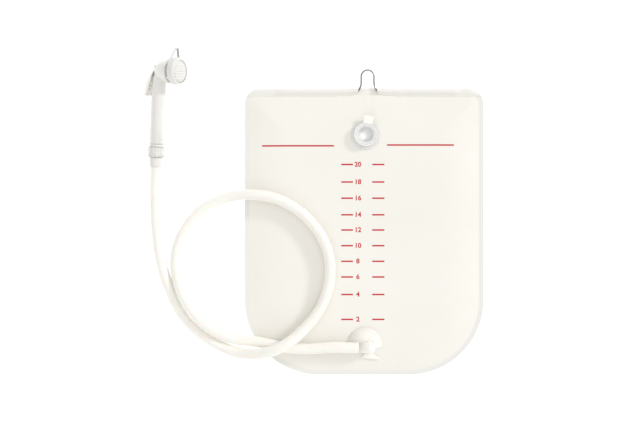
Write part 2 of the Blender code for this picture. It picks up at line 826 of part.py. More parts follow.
ALONG_HANDLE = Matrix.Rotation(-math.pi / 2, 4, "X")
ALONG_ROSE = Matrix.Rotation(math.pi / 2, 4, "Y")
ROSE_PLACE = HANDLE_LENGTH - ROSE_HEAD_DROP
BELL_BACK = BELL_BACK_INSET - HANDLE_RADIUS
ROSE_SPIGOT_RADIUS = BELL_RADIUS - BELL_LEDGE
ROSE_SPIGOT_END = BELL_FRONT + BAIL_WIDTH + 2 * GAP + ROSE_THREAD_LENGTH
ROSE_BORE_RADIUS = ROSE_SPIGOT_RADIUS - ROSE_SPIGOT_WALL
VALVE_SEAL_RADIUS = SEAT_RADIUS + VALVE_SEAL_OVERLAP
VALVE_PLACE = ROSE_PLACE - ROSE_BORE_RADIUS + VALVE_SEAL_RADIUS + VALVE_SEAL_CLEARANCE
HINGE_PLACE = ROSE_PLACE + HINGE_RISE
HINGE_DEPTH = BELL_BACK + HINGE_SINK
CHAMBER_FRONT = SEAT_FACE - SEAT_WALL
CHAMBER_BACK = CHAMBER_FRONT - CHAMBER_DEPTH
SEAL_POCKET_FACE = CHAMBER_BACK - GLAND_WALL
SPRING_POCKET_FACE = SEAL_POCKET_FACE - SEAL_POCKET_DEPTH
SEAL_POCKET_RADIUS = STEM_RADIUS + SEAL_POCKET_WIDTH
SPRING_COIL_RADIUS = STEM_RADIUS + SPRING_CLEARANCE + SPRING_WIRE_RADIUS
SPRING_POCKET_RADIUS = SPRING_COIL_RADIUS + SPRING_WIRE_RADIUS + SPRING_POCKET_CLEARANCE
BUTTON_RADIUS = SPRING_POCKET_RADIUS - BUTTON_MARGIN
BUTTON_FACE = BELL_BACK - BUTTON_STAND


def handle_ring(place, shift, radius):
    return [
        (shift + radius * math.cos(angle), place, radius * math.sin(angle))
        for angle in (math.tau * step / ROUND_STEPS for step in range(ROUND_STEPS))
    ]


def handle_body(handset, handle_line, rose_line, valve_line):
    """The handle and the head in one moulding, with its water way, valve bores and hinge pocket."""
    rings = [
        handle_ring(-SPIGOT_LENGTH, 0, SPIGOT_RADIUS),
        handle_ring(0, 0, SPIGOT_RADIUS),
        handle_ring(0, 0, HANDLE_RADIUS - HANDLE_EDGE),
        handle_ring(HANDLE_EDGE, 0, HANDLE_RADIUS),
    ]
    for place, shift, radius in HANDLE_RING_SHARES:
        rings.append(handle_ring(place * HANDLE_LENGTH, shift * HANDLE_RADIUS, radius * HANDLE_RADIUS))
    body = new_mesh_object("handle_body", lofted(rings), WHITE_PLASTIC, handset)

    bell_length = BELL_FRONT - BELL_BACK
    bell = [(0, BELL_BACK)]
    bell += [(radius * BELL_RADIUS, BELL_BACK + place * bell_length) for place, radius in BELL_RING_SHARES]
    bell += [
        (BELL_RADIUS, BELL_FRONT),
        (ROSE_SPIGOT_RADIUS, BELL_FRONT),
        (ROSE_SPIGOT_RADIUS, ROSE_SPIGOT_END),
        (0, ROSE_SPIGOT_END),
    ]
    add(body, "bell", turned(bell), rose_line)
    bore(body, "rose_bore", ROSE_BORE_RADIUS, SEAT_FACE, ROSE_SPIGOT_END + OVERRUN, rose_line)
    mouth = -SPIGOT_LENGTH - OVERRUN
    bore_end = VALVE_PLACE - FEED_LENGTH
    bore(body, "handle_bore", HANDLE_BORE_RADIUS, mouth, bore_end, handle_line)
    feed_shift = Matrix.Translation(((CHAMBER_FRONT + CHAMBER_BACK) / 2, 0, 0))
    feed = CHAMBER_DEPTH / 2 - FEED_MARGIN
    bore(body, "feed", feed, bore_end - OVERRUN, VALVE_PLACE, handle_line, feed_shift)
    bore(body, "chamber", CHAMBER_RADIUS, CHAMBER_BACK, CHAMBER_FRONT, valve_line)
    bore(body, "seat", SEAT_RADIUS, CHAMBER_FRONT - OVERRUN, SEAT_FACE + OVERRUN, valve_line)
    stem_start = SEAL_POCKET_FACE - OVERRUN
    stem_hole = STEM_RADIUS + STEM_CLEARANCE
    bore(body, "stem_hole", stem_hole, stem_start, CHAMBER_BACK + OVERRUN, valve_line)
    deep = BUTTON_FACE - OVERRUN
    bore(body, "seal_pocket", SEAL_POCKET_RADIUS, deep, SEAL_POCKET_FACE, valve_line)
    bore(body, "spring_pocket", SPRING_POCKET_RADIUS, deep, SPRING_POCKET_FACE, valve_line)

    hinge = hinge_place()
    half = KNUCKLE_WIDTH / 2 + LEVER_CLEARANCE
    reach = KNUCKLE_RADIUS + LEVER_CLEARANCE
    far = ROSE_PLACE + BELL_RADIUS
    slot = box((-2 * reach, -reach, -half), (0, far, half))
    cut(body, "hinge_slot", slot, handset, hinge)
    relief = box((-2 * reach, -HINGE_RELIEF, -half - GAP), (GAP, 0, half + GAP))
    cut(body, "hinge_relief", relief, handset, hinge)
    bore(body, "hinge_round", reach, -half - GAP / 2, half + GAP / 2, handset, hinge)
    pin_half = pin_half_length() + GAP
    bore(body, "pin_hole", PIN_RADIUS + GAP, -pin_half, pin_half, handset, hinge)


def pin_half_length():
    return KNUCKLE_WIDTH / 2 + PIN_SEAT_LENGTH


def hinge_place():
    return Matrix.Translation((HINGE_DEPTH, HINGE_PLACE, 0))


def collar(handle_line):
    inner = SPIGOT_RADIUS + GAP
    outer = inner + COLLAR_WALL
    low = -GAP - COLLAR_LENGTH
    edge = HANDLE_EDGE
    profile = (
        (inner, low),
        (outer - edge, low),
        (outer, low + edge),
        (outer, -GAP - edge),
        (outer - edge, -GAP),
        (inner, -GAP),
    )
    new_mesh_object("handle_collar", turned(profile), WHITE_PLASTIC, handle_line)


def nut_top():
    return -COLLAR_LENGTH - 2 * GAP


def tail_top():
    return -SPIGOT_LENGTH - 2 * GAP - WASHER_THICKNESS


def nut_lip_top():
    return tail_top() - TAIL_FLANGE_THICKNESS - GAP


def nut_bottom():
    return nut_lip_top() - NUT_LIP


def nut_radius():
    return SPIGOT_RADIUS + GAP + NUT_WALL + NUT_RIB_DEPTH


def tail_neck_radius():
    return TAIL_BORE_RADIUS + TAIL_NECK_WALL


def union_nut(handle_line):
    """The nut: ribbed outside, clear of the handle's spigot inside, with a lip under the insert."""
    count = 2 * NUT_RIBS
    ribs = []
    for step in range(2 * count):
        low = step % 4 > 1
        radius = nut_radius() - NUT_RIB_DEPTH * low
        ribs.append(radius * unit_direction(math.tau * step / (2 * count)))
    nut = new_mesh_object("union_nut", plate(ribs, nut_bottom(), nut_top()), WHITE_PLASTIC, handle_line)
    lip = nut_lip_top()
    bore(nut, "thread", SPIGOT_RADIUS + GAP, lip, nut_top() + OVERRUN, handle_line)
    bore(nut, "lip", tail_neck_radius() + GAP, nut_bottom() - OVERRUN, lip + OVERRUN, handle_line)


def tail_washer(handle_line):
    high = -SPIGOT_LENGTH - GAP
    ring = washer(SPIGOT_RADIUS - WASHER_WIDTH, SPIGOT_RADIUS, high - WASHER_THICKNESS, high)
    new_mesh_object("tail_washer", ring, BLACK_RUBBER, handle_line)


def ferrule_bottom():
    return nut_bottom() - GAP - FERRULE_LENGTH


def hose_end_face():
    return ferrule_bottom() + FERRULE_GRIP


def hose_tail(handle_line):
    """The insert: a flange that the nut's lip pulls up, and a neck that the hose meets."""
    top = tail_top()
    flange = top - TAIL_FLANGE_THICKNESS
    low = hose_end_face() + GAP
    neck = tail_neck_radius()
    profile = (
        (TAIL_BORE_RADIUS, low),
        (neck, low),
        (neck, flange),
        (SPIGOT_RADIUS, flange),
        (SPIGOT_RADIUS, top),
        (TAIL_BORE_RADIUS, top),
    )
    new_mesh_object("hose_tail", turned(profile), WHITE_PLASTIC, handle_line)


def hose_ferrule(handle_line):
    """The sleeve: it narrows towards the hose and ends in a small bead."""
    low = ferrule_bottom()
    high = low + FERRULE_LENGTH
    step = hose_end_face() + GAP
    hose = HOSE_DIAMETER / 2 + GAP
    neck = tail_neck_radius() + GAP
    end = hose + FERRULE_WALL
    top = end + FERRULE_TAPER
    profile = (
        (hose, low),
        (end, low),
        (end + FERRULE_BEAD, low + FERRULE_BEAD_LENGTH / 2),
        (end, low + FERRULE_BEAD_LENGTH),
        (top, high - FERRULE_BEAD_LENGTH),
        (top - FERRULE_BEAD, high),
        (neck, high),
        (neck, step),
        (hose, step),
    )
    new_mesh_object("hose_ferrule", turned(profile), WHITE_PLASTIC, handle_line)


def hose_finish(handle_line):
    """The hose's last points, straight into the ferrule."""
    face = hose_end_face()
    outside = ferrule_bottom()
    places = (outside - HOSE_DIAMETER / 2, outside, face)
    return [handle_line.matrix_world @ Vector((0, 0, place)) for place in places]


def hose(start, finish_points):
    route = [*start, *[Vector(point) for point in HOSE_ROUTE], *finish_points]
    line = smooth_line(route, HOSE_POINTS)
    tube("hose", line, HOSE_DIAMETER / 2, WHITE_VINYL, resolution=3)
    return line


# Rose


def plate_seat():
    return ROSE_SPIGOT_END + GAP


def rose_gasket(rose_line):
    low = plate_seat()
    ring = washer(ROSE_BORE_RADIUS, ROSE_SPIGOT_RADIUS, low, low + GASKET_THICKNESS)
    new_mesh_object("rose_gasket", ring, BLACK_RUBBER, rose_line)


def plate_back():
    return plate_seat() + GASKET_THICKNESS + GAP


def plate_rim_front():
    return plate_back() + PLATE_RIM_THICKNESS


def spray_holes():
    """Small rods in rings: one in the middle, then six more in each ring than in the last."""

    def build(work):
        places = [Vector((0, 0))]
        ring_step = (plate_face_radius() - SPRAY_EDGE) / SPRAY_RINGS
        for ring in range(1, SPRAY_RINGS + 1):
            count = 6 * ring
            places += [ring * ring_step * unit_direction(math.tau * k / count) for k in range(count)]
        low = plate_back() - OVERRUN
        high = ring_front() + OVERRUN
        for place in places:
            rim = arc(place, SPRAY_HOLE_RADIUS, 0, math.tau, SPRAY_HOLE_STEPS)[:-1]
            add_lofted(work, [[(x, y, low) for x, y in rim], [(x, y, high) for x, y in rim]])

    return build


def ring_back():
    return BELL_FRONT + BAIL_WIDTH + 2 * GAP


def ring_front():
    return plate_rim_front() + GAP + ROSE_LIP


def plate_radius():
    return ROSE_SPIGOT_RADIUS + PLATE_LEDGE


def plate_face_radius():
    return plate_radius() - ROSE_LIP_WIDTH - GAP


def spray_plate(rose_line):
    """The disc in the rose: a rim behind the ring's lip and a low crown in front."""
    low = plate_back()
    rim = plate_rim_front()
    face = plate_face_radius()
    edge = ring_front() - PLATE_CROWN / 2
    profile = (
        (0, low),
        (plate_radius(), low),
        (plate_radius(), rim),
        (face, rim),
        (face, edge),
        *[(x * face, edge + y * PLATE_CROWN) for x, y in PLATE_CROWN_SHARES],
    )
    disc = new_mesh_object("spray_plate", turned(profile), WHITE_PLASTIC, rose_line)
    cut(disc, "holes", spray_holes(), rose_line)


def rose_ring(rose_line):
    """The cap ring: a plain wall, a rounded front edge and a lip that holds the plate."""
    thread = ROSE_SPIGOT_RADIUS + GAP
    recess = plate_radius() + GAP
    outer = recess + ROSE_RING_WALL
    back = ring_back()
    front = ring_front()
    lip = plate_rim_front() + GAP
    lip_radius = plate_radius() - ROSE_LIP_WIDTH
    corner = (outer - ROSE_RING_ROUND, front - ROSE_RING_ROUND)
    profile = (
        (thread, back),
        (outer - ROSE_RING_BEVEL, back),
        (outer, back + ROSE_RING_BEVEL),
        *arc(corner, ROSE_RING_ROUND, 0, math.pi / 2, CORNER_STEPS // 2),
        (lip_radius, front),
        (lip_radius, lip),
        (recess, lip),
        (recess, plate_seat()),
        (thread, plate_seat()),
    )
    new_mesh_object("rose_ring", turned(profile), WHITE_PLASTIC, rose_line)


def bail(rose_line):
    """A flat strip round the neck of the rose, drawn out to a pointed eye."""
    ring = ROSE_SPIGOT_RADIUS + GAP + BAIL_THICKNESS / 2
    tip_centre = ring + BAIL_THICKNESS / 2 + BAIL_EYE_LENGTH - BAIL_TIP_RADIUS
    tip = BAIL_TIP_RADIUS - BAIL_THICKNESS / 2
    lean = math.acos((ring - tip) / tip_centre)
    centres = [(Vector((0, 0)), ring, lean, math.tau - lean, BAIL_RING_STEPS)]
    centres.append((Vector((tip_centre, 0)), tip, -lean, lean, BAIL_TIP_STEPS))
    rings = []
    for centre, radius, start, end, steps in centres:
        for step in range(steps + 1):
            outward = unit_direction(start + (end - start) * step / steps)
            inner = centre + (radius - BAIL_THICKNESS / 2) * outward
            outer = centre + (radius + BAIL_THICKNESS / 2) * outward
            low = BELL_FRONT + GAP
            high = low + BAIL_WIDTH
            rings.append([(*inner, low), (*outer, low), (*outer, high), (*inner, high)])
    turn = Matrix.Rotation(math.pi / 2 - BAIL_TURN, 4, "Z")
    new_mesh_object("bail", lofted(rings, closed=True), CHROME, rose_line, turn)


# Thumb valve


def valve_stem(valve_line):
    """The push rod: a domed button, a thin stem and a backing flange in front of the seal."""
    seal_front = SEAT_FACE + GAP + VALVE_SEAL_THICKNESS
    backing = seal_front + GAP
    backing_radius = VALVE_SEAL_RADIUS - BACKING_MARGIN
    button_end = BUTTON_FACE + BUTTON_THICKNESS
    profile = (
        (0, BUTTON_FACE),
        (BUTTON_TIP_RADIUS, BUTTON_FACE),
        (BUTTON_RADIUS, BUTTON_FACE + BUTTON_DOME),
        (BUTTON_RADIUS, button_end),
        (STEM_RADIUS, button_end),
        (STEM_RADIUS, backing),
        (backing_radius, backing),
        (backing_radius, backing + BACKING_THICKNESS),
        (0, backing + BACKING_THICKNESS),
    )
    new_mesh_object("valve_stem", turned(profile, SMALL_STEPS), WHITE_PLASTIC, valve_line)


def valve_seal(valve_line):
    low = SEAT_FACE + GAP
    ring = washer(STEM_RADIUS + GAP, VALVE_SEAL_RADIUS, low, low + VALVE_SEAL_THICKNESS, SMALL_STEPS)
    new_mesh_object("valve_seal", ring, BLACK_RUBBER, valve_line)


def stem_seal(valve_line):
    high = SEAL_POCKET_FACE - GAP
    ring = washer(STEM_RADIUS + GAP, SEAL_POCKET_RADIUS - GAP, SPRING_POCKET_FACE, high, SMALL_STEPS)
    new_mesh_object("stem_seal", ring, BLACK_RUBBER, valve_line)


def gland_face():
    return SPRING_POCKET_FACE - GAP - GLAND_THICKNESS


def gland_washer(valve_line):
    low = gland_face()
    ring = washer(STEM_RADIUS + GAP, SPRING_POCKET_RADIUS - GAP, low, low + GLAND_THICKNESS, SMALL_STEPS)
    new_mesh_object("gland_washer", ring, STEEL, valve_line)


def valve_spring(valve_line):
    """A coil between the stem's button and the gland washer."""
    low = BUTTON_FACE + BUTTON_THICKNESS + GAP + SPRING_WIRE_RADIUS
    high = gland_face() - GAP - SPRING_WIRE_RADIUS
    count = SPRING_TURNS * SPRING_STEPS
    points = []
    for step in range(count + 1):
        across = SPRING_COIL_RADIUS * unit_direction(math.tau * step / SPRING_STEPS)
        points.append((*across, low + (high - low) * step / count))
    print(f"valve_spring: least gap to itself {1000 * least_gap(points, SPRING_WIRE_RADIUS):.2f} mm")
    tube("valve_spring", points, SPRING_WIRE_RADIUS, STEEL, valve_line, resolution=1)


# Thumb lever


def lever_tip_depth():
    """Depth of the lever's end, so that its plate clears the valve's button at rest."""
    places = [row[0] for row in LEVER_RING_SHARES]
    depths = [row[1] for row in LEVER_RING_SHARES]
    share = np.interp((HINGE_PLACE - VALVE_PLACE) / LEVER_LENGTH, places, depths)
    return (HINGE_DEPTH - BUTTON_FACE + LEVER_REST) / share


def thumb_lever(handset):
    """The paddle: a plate with a flange down each side, and a knuckle on the hinge pin."""
    tip_depth = lever_tip_depth()
    rings = []
    for place, depth, width, flange in LEVER_RING_SHARES:
        along = -place * LEVER_LENGTH
        inner = -depth * tip_depth
        outer = inner - LEVER_PLATE
        half = width * LEVER_HALF_WIDTH
        wall = half - LEVER_WALL
        edge = inner + flange * LEVER_FLANGE
        section = (
            (outer, -half),
            (outer, half),
            (edge, half),
            (edge, wall),
            (inner, wall),
            (inner, -wall),
            (edge, -wall),
            (edge, -half),
        )
        rings.append([(x, along, z) for x, z in section])
    lever = new_mesh_object("thumb_lever", lofted(rings), WHITE_PLASTIC, handset, hinge_place())
    half = KNUCKLE_WIDTH / 2
    add(lever, "knuckle", rod(KNUCKLE_RADIUS, -half, half), handset, hinge_place())
    end = half + OVERRUN
    bore(lever, "pin_hole", PIN_RADIUS + GAP, -end, end, handset, hinge_place())


def lever_pin(handset):
    half = pin_half_length()
    new_mesh_object("lever_pin", rod(PIN_RADIUS, -half, half), STEEL, handset, hinge_place())


def main():
    for old in list(bpy.data.objects):
        bpy.data.objects.remove(old, do_unlink=True)

    rear_panel()
    front_panel()
    top_hem()
    hanger_wire()

    seat = filler_seat()
    filler_neck(seat)
    low, high = filler_plug(seat)
    plug_tab(seat, low, high)

    outlet = outlet_seat()
    outlet_patch(outlet)
    outlet_elbow(outlet)

    handset = handset_frame()
    handle_line = empty("handle_line", handset, ALONG_HANDLE)
    rose_line = empty("rose_line", handset, Matrix.Translation((0, ROSE_PLACE, 0)) @ ALONG_ROSE)
    valve_line = empty("valve_line", handset, Matrix.Translation((0, VALVE_PLACE, 0)) @ ALONG_ROSE)
    handle_body(handset, handle_line, rose_line, valve_line)
    collar(handle_line)
    union_nut(handle_line)
    tail_washer(handle_line)
    hose_tail(handle_line)
    hose_ferrule(handle_line)

    rose_gasket(rose_line)
    spray_plate(rose_line)
    rose_ring(rose_line)
    bail(rose_line)

    valve_stem(valve_line)
    valve_seal(valve_line)
    stem_seal(valve_line)
    gland_washer(valve_line)
    valve_spring(valve_line)

    thumb_lever(handset)
    lever_pin(handset)

    bpy.context.view_layer.update()
    line = hose(hose_start(outlet), hose_finish(handle_line))
    length = np.linalg.norm(np.diff(line, axis=0), axis=1).sum()
    least = least_gap(line, HOSE_DIAMETER / 2)
    print(f"hose: {length:.3f} m long, least gap to itself {1000 * least:.2f} mm")


main()
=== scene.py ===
# %% [markdown]
# # A camp shower bag, dressed
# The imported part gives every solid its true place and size. This notebook gives the rigid solids their
# finishes, shows the visible ones as smooth copies, and remakes the film, the hem, the hose and the hanging
# wire as finer surfaces. All lengths are in metres, and the bag lies on its back with +Y towards the hook.

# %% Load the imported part
import math

import bmesh
import bpy
import numpy as np
from mathutils import Matrix, Vector


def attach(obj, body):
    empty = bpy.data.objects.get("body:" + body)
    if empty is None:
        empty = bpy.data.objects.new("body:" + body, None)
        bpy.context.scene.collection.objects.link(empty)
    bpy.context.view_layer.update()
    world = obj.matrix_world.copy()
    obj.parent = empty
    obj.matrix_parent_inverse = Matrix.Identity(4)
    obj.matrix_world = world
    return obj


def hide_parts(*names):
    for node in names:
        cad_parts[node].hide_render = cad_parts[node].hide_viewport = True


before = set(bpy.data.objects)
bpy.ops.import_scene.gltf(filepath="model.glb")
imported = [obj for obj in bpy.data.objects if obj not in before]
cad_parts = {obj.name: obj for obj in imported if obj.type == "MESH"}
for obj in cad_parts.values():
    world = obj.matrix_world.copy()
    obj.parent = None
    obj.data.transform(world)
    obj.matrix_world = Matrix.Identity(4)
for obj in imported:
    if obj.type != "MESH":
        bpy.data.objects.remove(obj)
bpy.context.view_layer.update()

print("nodes:", len(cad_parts))

# %% [markdown]
# ## Camera
# The photograph looks straight down on the set from a good distance, so parallel edges stay parallel.
# A perspective camera 1.6 m up with a 61 mm lens gives the same framing. A flat scan would be
# orthographic, but then the upright sides of the nut and the rose would disappear.

# %% Camera
CAMERA_PLACE = (-0.065, 0.027, 1.6)
CAMERA_LENS = 61.0
SENSOR_WIDTH = 36.0
PICTURE_WIDTH, PICTURE_HEIGHT = 640, 427

camera_data = bpy.data.cameras.new("camera")
camera_data.lens = CAMERA_LENS
camera_data.sensor_width = SENSOR_WIDTH
camera = bpy.data.objects.new("camera", camera_data)
camera.location = CAMERA_PLACE
bpy.context.scene.collection.objects.link(camera)
bpy.context.scene.camera = camera
bpy.context.scene.view_settings.view_transform = "Standard"
print("camera at", CAMERA_PLACE)

# %% [markdown]
# ## Surfaces from numpy
# A piece here is a grid of points: one parameter runs along it and one runs round it. The whole grid is
# worked out as an array and handed to the mesh in one go. A wrapped grid joins its last row to its first.
# Where a row shrinks to one point, the doubles are merged, so poles and seams are closed.

# %% Grid helpers
MERGE_DISTANCE = 1e-6


def grid_faces(rows, columns, wrap_rows):
    """Corner numbers of every quad of a grid whose rows are closed rings."""
    row = np.arange(rows if wrap_rows else rows - 1)[:, None]
    column = np.arange(columns)[None, :]
    next_row = (row + 1) % rows
    next_column = (column + 1) % columns
    corners = (
        row * columns + column,
        row * columns + next_column,
        next_row * columns + next_column,
        next_row * columns + column,
    )
    return np.stack([np.broadcast_to(c, (len(row), columns)).ravel() for c in corners], axis=1)


def mesh_from_arrays(name, points, faces):
    """A mesh object from an array of points and an array of faces with equal corner counts."""
    mesh = bpy.data.meshes.new(name)
    sides = faces.shape[1]
    mesh.vertices.add(len(points))
    mesh.vertices.foreach_set("co", np.ascontiguousarray(points, np.float32).ravel())
    mesh.loops.add(faces.size)
    mesh.loops.foreach_set("vertex_index", faces.astype(np.int32).ravel())
    mesh.polygons.add(len(faces))
    mesh.polygons.foreach_set("loop_start", np.arange(0, faces.size, sides, dtype=np.int32))
    mesh.update(calc_edges=True)
    piece = bpy.data.objects.new(name, mesh)
    bpy.context.scene.collection.objects.link(piece)
    return piece


def tidy(piece, smooth=True, angle=None):
    """Merge doubles, turn all faces outwards and set the shading."""
    work = bmesh.new()
    work.from_mesh(piece.data)
    bmesh.ops.remove_doubles(work, verts=work.verts, dist=MERGE_DISTANCE)
    bmesh.ops.recalc_face_normals(work, faces=work.faces)
    work.to_mesh(piece.data)
    work.free()
    piece.data.polygons.foreach_set("use_smooth", np.full(len(piece.data.polygons), smooth))
    if angle is not None:
        piece.data.set_sharp_from_angle(angle=angle)
    piece.data.update()
    return piece


def grid_piece(name, grid, wrap_rows=False, angle=None):
    """A smooth piece from a rows x columns x 3 array of points."""
    rows, columns = grid.shape[:2]
    piece = mesh_from_arrays(name, grid.reshape(-1, 3), grid_faces(rows, columns, wrap_rows))
    tidy(piece, angle=angle)
    print(name, "has", len(piece.data.polygons), "faces")
    return piece


def vertex_places(mesh):
    """Every vertex of a mesh as an n x 3 array."""
    flat = np.empty(3 * len(mesh.vertices), np.float32)
    mesh.vertices.foreach_get("co", flat)
    return flat.reshape(-1, 3).astype(float)


def set_places(mesh, places):
    mesh.vertices.foreach_set("co", places.astype(np.float32).ravel())


def paint(piece, name, values):
    """Keep one number per vertex as an attribute that a material can read."""
    layer = piece.data.attributes.new(name, "FLOAT", "POINT")
    layer.data.foreach_set("value", np.asarray(values, np.float32))

# %% [markdown]
# ## Hose
# The real hose is a length of soft white vinyl tube. It leaves the outlet to the left, makes one loop over
# itself and runs up to the handset. It could be a curve with a round bevel, but a grid carried along the
# route also gives a pattern that follows the tube. The route is the same as in the CAD source.

# %% Hose route
HOSE_RADIUS = 0.008
HOSE_STATIONS, HOSE_SIDES = 420, 28
HOSE_BORE_SHARE = 0.62
HOSE_START = ((-0.0079, -0.168882, 0.01811), (-0.0159, -0.168882, 0.01811))
HOSE_END = (
    (-0.305617, 0.087361, 0.01042),
    (-0.305227, 0.095329, 0.011006),
    (-0.304779, 0.104494, 0.01168),
)
HOSE_ROUTE = (
    (-0.0444, -0.1682, 0.0175), (-0.0735, -0.1702, 0.0169), (-0.1027, -0.1701, 0.0150),
    (-0.1315, -0.1660, 0.0130), (-0.1601, -0.1605, 0.0108), (-0.1889, -0.1564, 0.0123),
    (-0.2157, -0.1460, 0.0166), (-0.2394, -0.1292, 0.0183), (-0.2578, -0.1066, 0.0181),
    (-0.2702, -0.0804, 0.0153), (-0.2763, -0.0523, 0.0103), (-0.2745, -0.0234, 0.0084),
    (-0.2628, 0.0032, 0.0084), (-0.2448, 0.0262, 0.0084), (-0.2212, 0.0432, 0.0084),
    (-0.1937, 0.0524, 0.0104), (-0.1651, 0.0544, 0.0155), (-0.1363, 0.0507, 0.0180),
    (-0.1093, 0.0396, 0.0179), (-0.0859, 0.0224, 0.0179), (-0.0671, 0.0001, 0.0178),
    (-0.0543, -0.0261, 0.0178), (-0.0500, -0.0549, 0.0178), (-0.0536, -0.0838, 0.0178),
    (-0.0644, -0.1108, 0.0185), (-0.0815, -0.1342, 0.0217), (-0.1023, -0.1537, 0.0278),
    (-0.1268, -0.1691, 0.0302), (-0.1535, -0.1776, 0.0227), (-0.1808, -0.1776, 0.0129),
    (-0.2082, -0.1688, 0.0089), (-0.2333, -0.1540, 0.0083), (-0.2555, -0.1350, 0.0084),
    (-0.2729, -0.1116, 0.0084), (-0.2852, -0.0851, 0.0084), (-0.2949, -0.0576, 0.0084),
    (-0.3009, -0.0291, 0.0084), (-0.3045, -0.0001, 0.0084), (-0.3063, 0.0291, 0.0084),
    (-0.3067, 0.0583, 0.0088),
)
FINE_STEPS = 12


def spline_through(points, count):
    """Evenly spaced points on the natural cubic spline through the given ones.

    The bends at the knots solve one line of equations each: the slope that leaves a knot is the slope
    that arrives. Between two knots the place is the cubic that has those bends at its ends."""
    given = np.array(points, float)
    knots = np.concatenate([[0], np.cumsum(np.linalg.norm(np.diff(given, axis=0), axis=1))])
    spans = np.diff(knots)
    slopes = np.diff(given, axis=0) / spans[:, None]
    matrix = np.diag(np.concatenate([[1], 2 * (spans[:-1] + spans[1:]), [1]]))
    matrix += np.diag(np.concatenate([spans[:-1], [0]]), -1) + np.diag(np.concatenate([[0], spans[1:]]), 1)
    right = np.zeros_like(given)
    right[1:-1] = 6 * np.diff(slopes, axis=0)
    bends = np.linalg.solve(matrix, right)
    place = np.linspace(0, knots[-1], FINE_STEPS * count)
    span = np.clip(np.searchsorted(knots, place) - 1, 0, len(spans) - 1)
    width = spans[span][:, None]
    ahead = knots[span + 1][:, None] - place[:, None]
    behind = place[:, None] - knots[span][:, None]
    fine = bends[span] * ahead**3 / (6 * width) + bends[span + 1] * behind**3 / (6 * width)
    fine += (given[span] / width - bends[span] * width / 6) * ahead
    fine += (given[span + 1] / width - bends[span + 1] * width / 6) * behind
    along = np.concatenate([[0], np.cumsum(np.linalg.norm(np.diff(fine, axis=0), axis=1))])
    even = np.linspace(0, along[-1], count)
    return np.stack([np.interp(even, along, fine[:, axis]) for axis in range(3)], axis=1), along[-1]


hose_line, hose_length = spline_through(HOSE_START + HOSE_ROUTE + HOSE_END, HOSE_STATIONS)
print(f"hose is {hose_length:.3f} m long")

# %% Hose surface
WALL_ANGLE = math.radians(40)


def tube_grid(line, radius, sides):
    """Circles square to a line: centre + radius * (side * cosine + up * sine), as one array.

    The side is the tangent crossed with the vertical, which never fails on a line that lies flat."""
    tangent = np.gradient(line, axis=0)
    tangent /= np.linalg.norm(tangent, axis=1)[:, None]
    side = np.cross(tangent, (0, 0, 1))
    side /= np.linalg.norm(side, axis=1)[:, None]
    up = np.cross(side, tangent)
    angle = np.linspace(0, 2 * math.pi, sides, endpoint=False)[None, :, None]
    reach = np.reshape(radius, (-1, 1, 1))
    return line[:, None] + reach * (side[:, None] * np.cos(angle) + up[:, None] * np.sin(angle))


def closed_tube(name, line, radius, bore, sides):
    """A tube with a wall: the outer circles run up the line, and the inner ones run back."""
    outer = tube_grid(line, radius, sides)
    inner = tube_grid(line, bore, sides)[::-1]
    return grid_piece(name, np.concatenate([outer, inner]), wrap_rows=True, angle=WALL_ANGLE)


def add_tube_map(piece, line, sides):
    """A UV map on a tube: V is the distance along the line in metres, U goes once round."""
    count = len(line)
    along = np.concatenate([[0], np.cumsum(np.linalg.norm(np.diff(line, axis=0), axis=1))])
    v = np.concatenate([along, along[::-1]])
    v = np.repeat(v, sides)
    u = np.tile(np.arange(sides) / sides, 2 * count)
    corners = np.empty(len(piece.data.loops), np.int32)
    piece.data.loops.foreach_get("vertex_index", corners)
    uv = np.stack([u[corners], v[corners]], axis=1).reshape(-1, 4, 2)
    behind = uv[:, :, 0].max(axis=1) - uv[:, :, 0].min(axis=1) > 0.5
    wrap = behind[:, None] & (uv[:, :, 0] < 0.5)
    uv[:, :, 0] += wrap
    layer = piece.data.uv_layers.new(name="along")
    layer.data.foreach_set("uv", uv.astype(np.float32).ravel())


hose = closed_tube("hose_tube", hose_line, HOSE_RADIUS, HOSE_RADIUS * HOSE_BORE_SHARE, HOSE_SIDES)
add_tube_map(hose, hose_line, HOSE_SIDES)
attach(hose, "bag_and_handset")
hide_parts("hose")

# %% [markdown]
# ## Finishes
# Every finish is a Principled shader whose colour, roughness and bump change over the surface. Three
# effects turn up in many of them, so each is a node group that is built once: a cloudy colour change, the
# fine skin of moulded plastic, and faint rubbed scratches. Single numbers stay on the shader's sockets.

# %% Node helpers


def new_group(name, inputs, outputs):
    """An empty shader group with float, colour and vector sockets, and its two ends."""
    group = bpy.data.node_groups.new(name, "ShaderNodeTree")
    for socket, kind, value in inputs:
        item = group.interface.new_socket(name=socket, in_out="INPUT", socket_type=kind)
        if value is not None:
            item.default_value = value
    for socket, kind in outputs:
        group.interface.new_socket(name=socket, in_out="OUTPUT", socket_type=kind)
    return group, group.nodes.new("NodeGroupInput"), group.nodes.new("NodeGroupOutput")


def feed(tree, target, value):
    """Link a socket to an input, or set the input to a plain value."""
    if isinstance(value, bpy.types.NodeSocket):
        tree.links.new(value, target)
    else:
        target.default_value = value


def node(tree, kind, inputs=None, **settings):
    """A node with its settings; an input is a plain value or a socket to link from."""
    made = tree.nodes.new(kind)
    for setting, value in settings.items():
        setattr(made, setting, value)
    for socket, value in (inputs or {}).items():
        feed(tree, made.inputs[socket], value)
    return made


def scaled_noise(tree, place, scale, detail=3.0, roughness=0.5):
    """The 0 to 1 value of a noise texture."""
    inputs = {"Vector": place, "Scale": scale, "Detail": detail, "Roughness": roughness}
    return node(tree, "ShaderNodeTexNoise", inputs).outputs["Fac"]


def math_node(tree, operation, first, second):
    return node(tree, "ShaderNodeMath", {0: first, 1: second}, operation=operation).outputs[0]


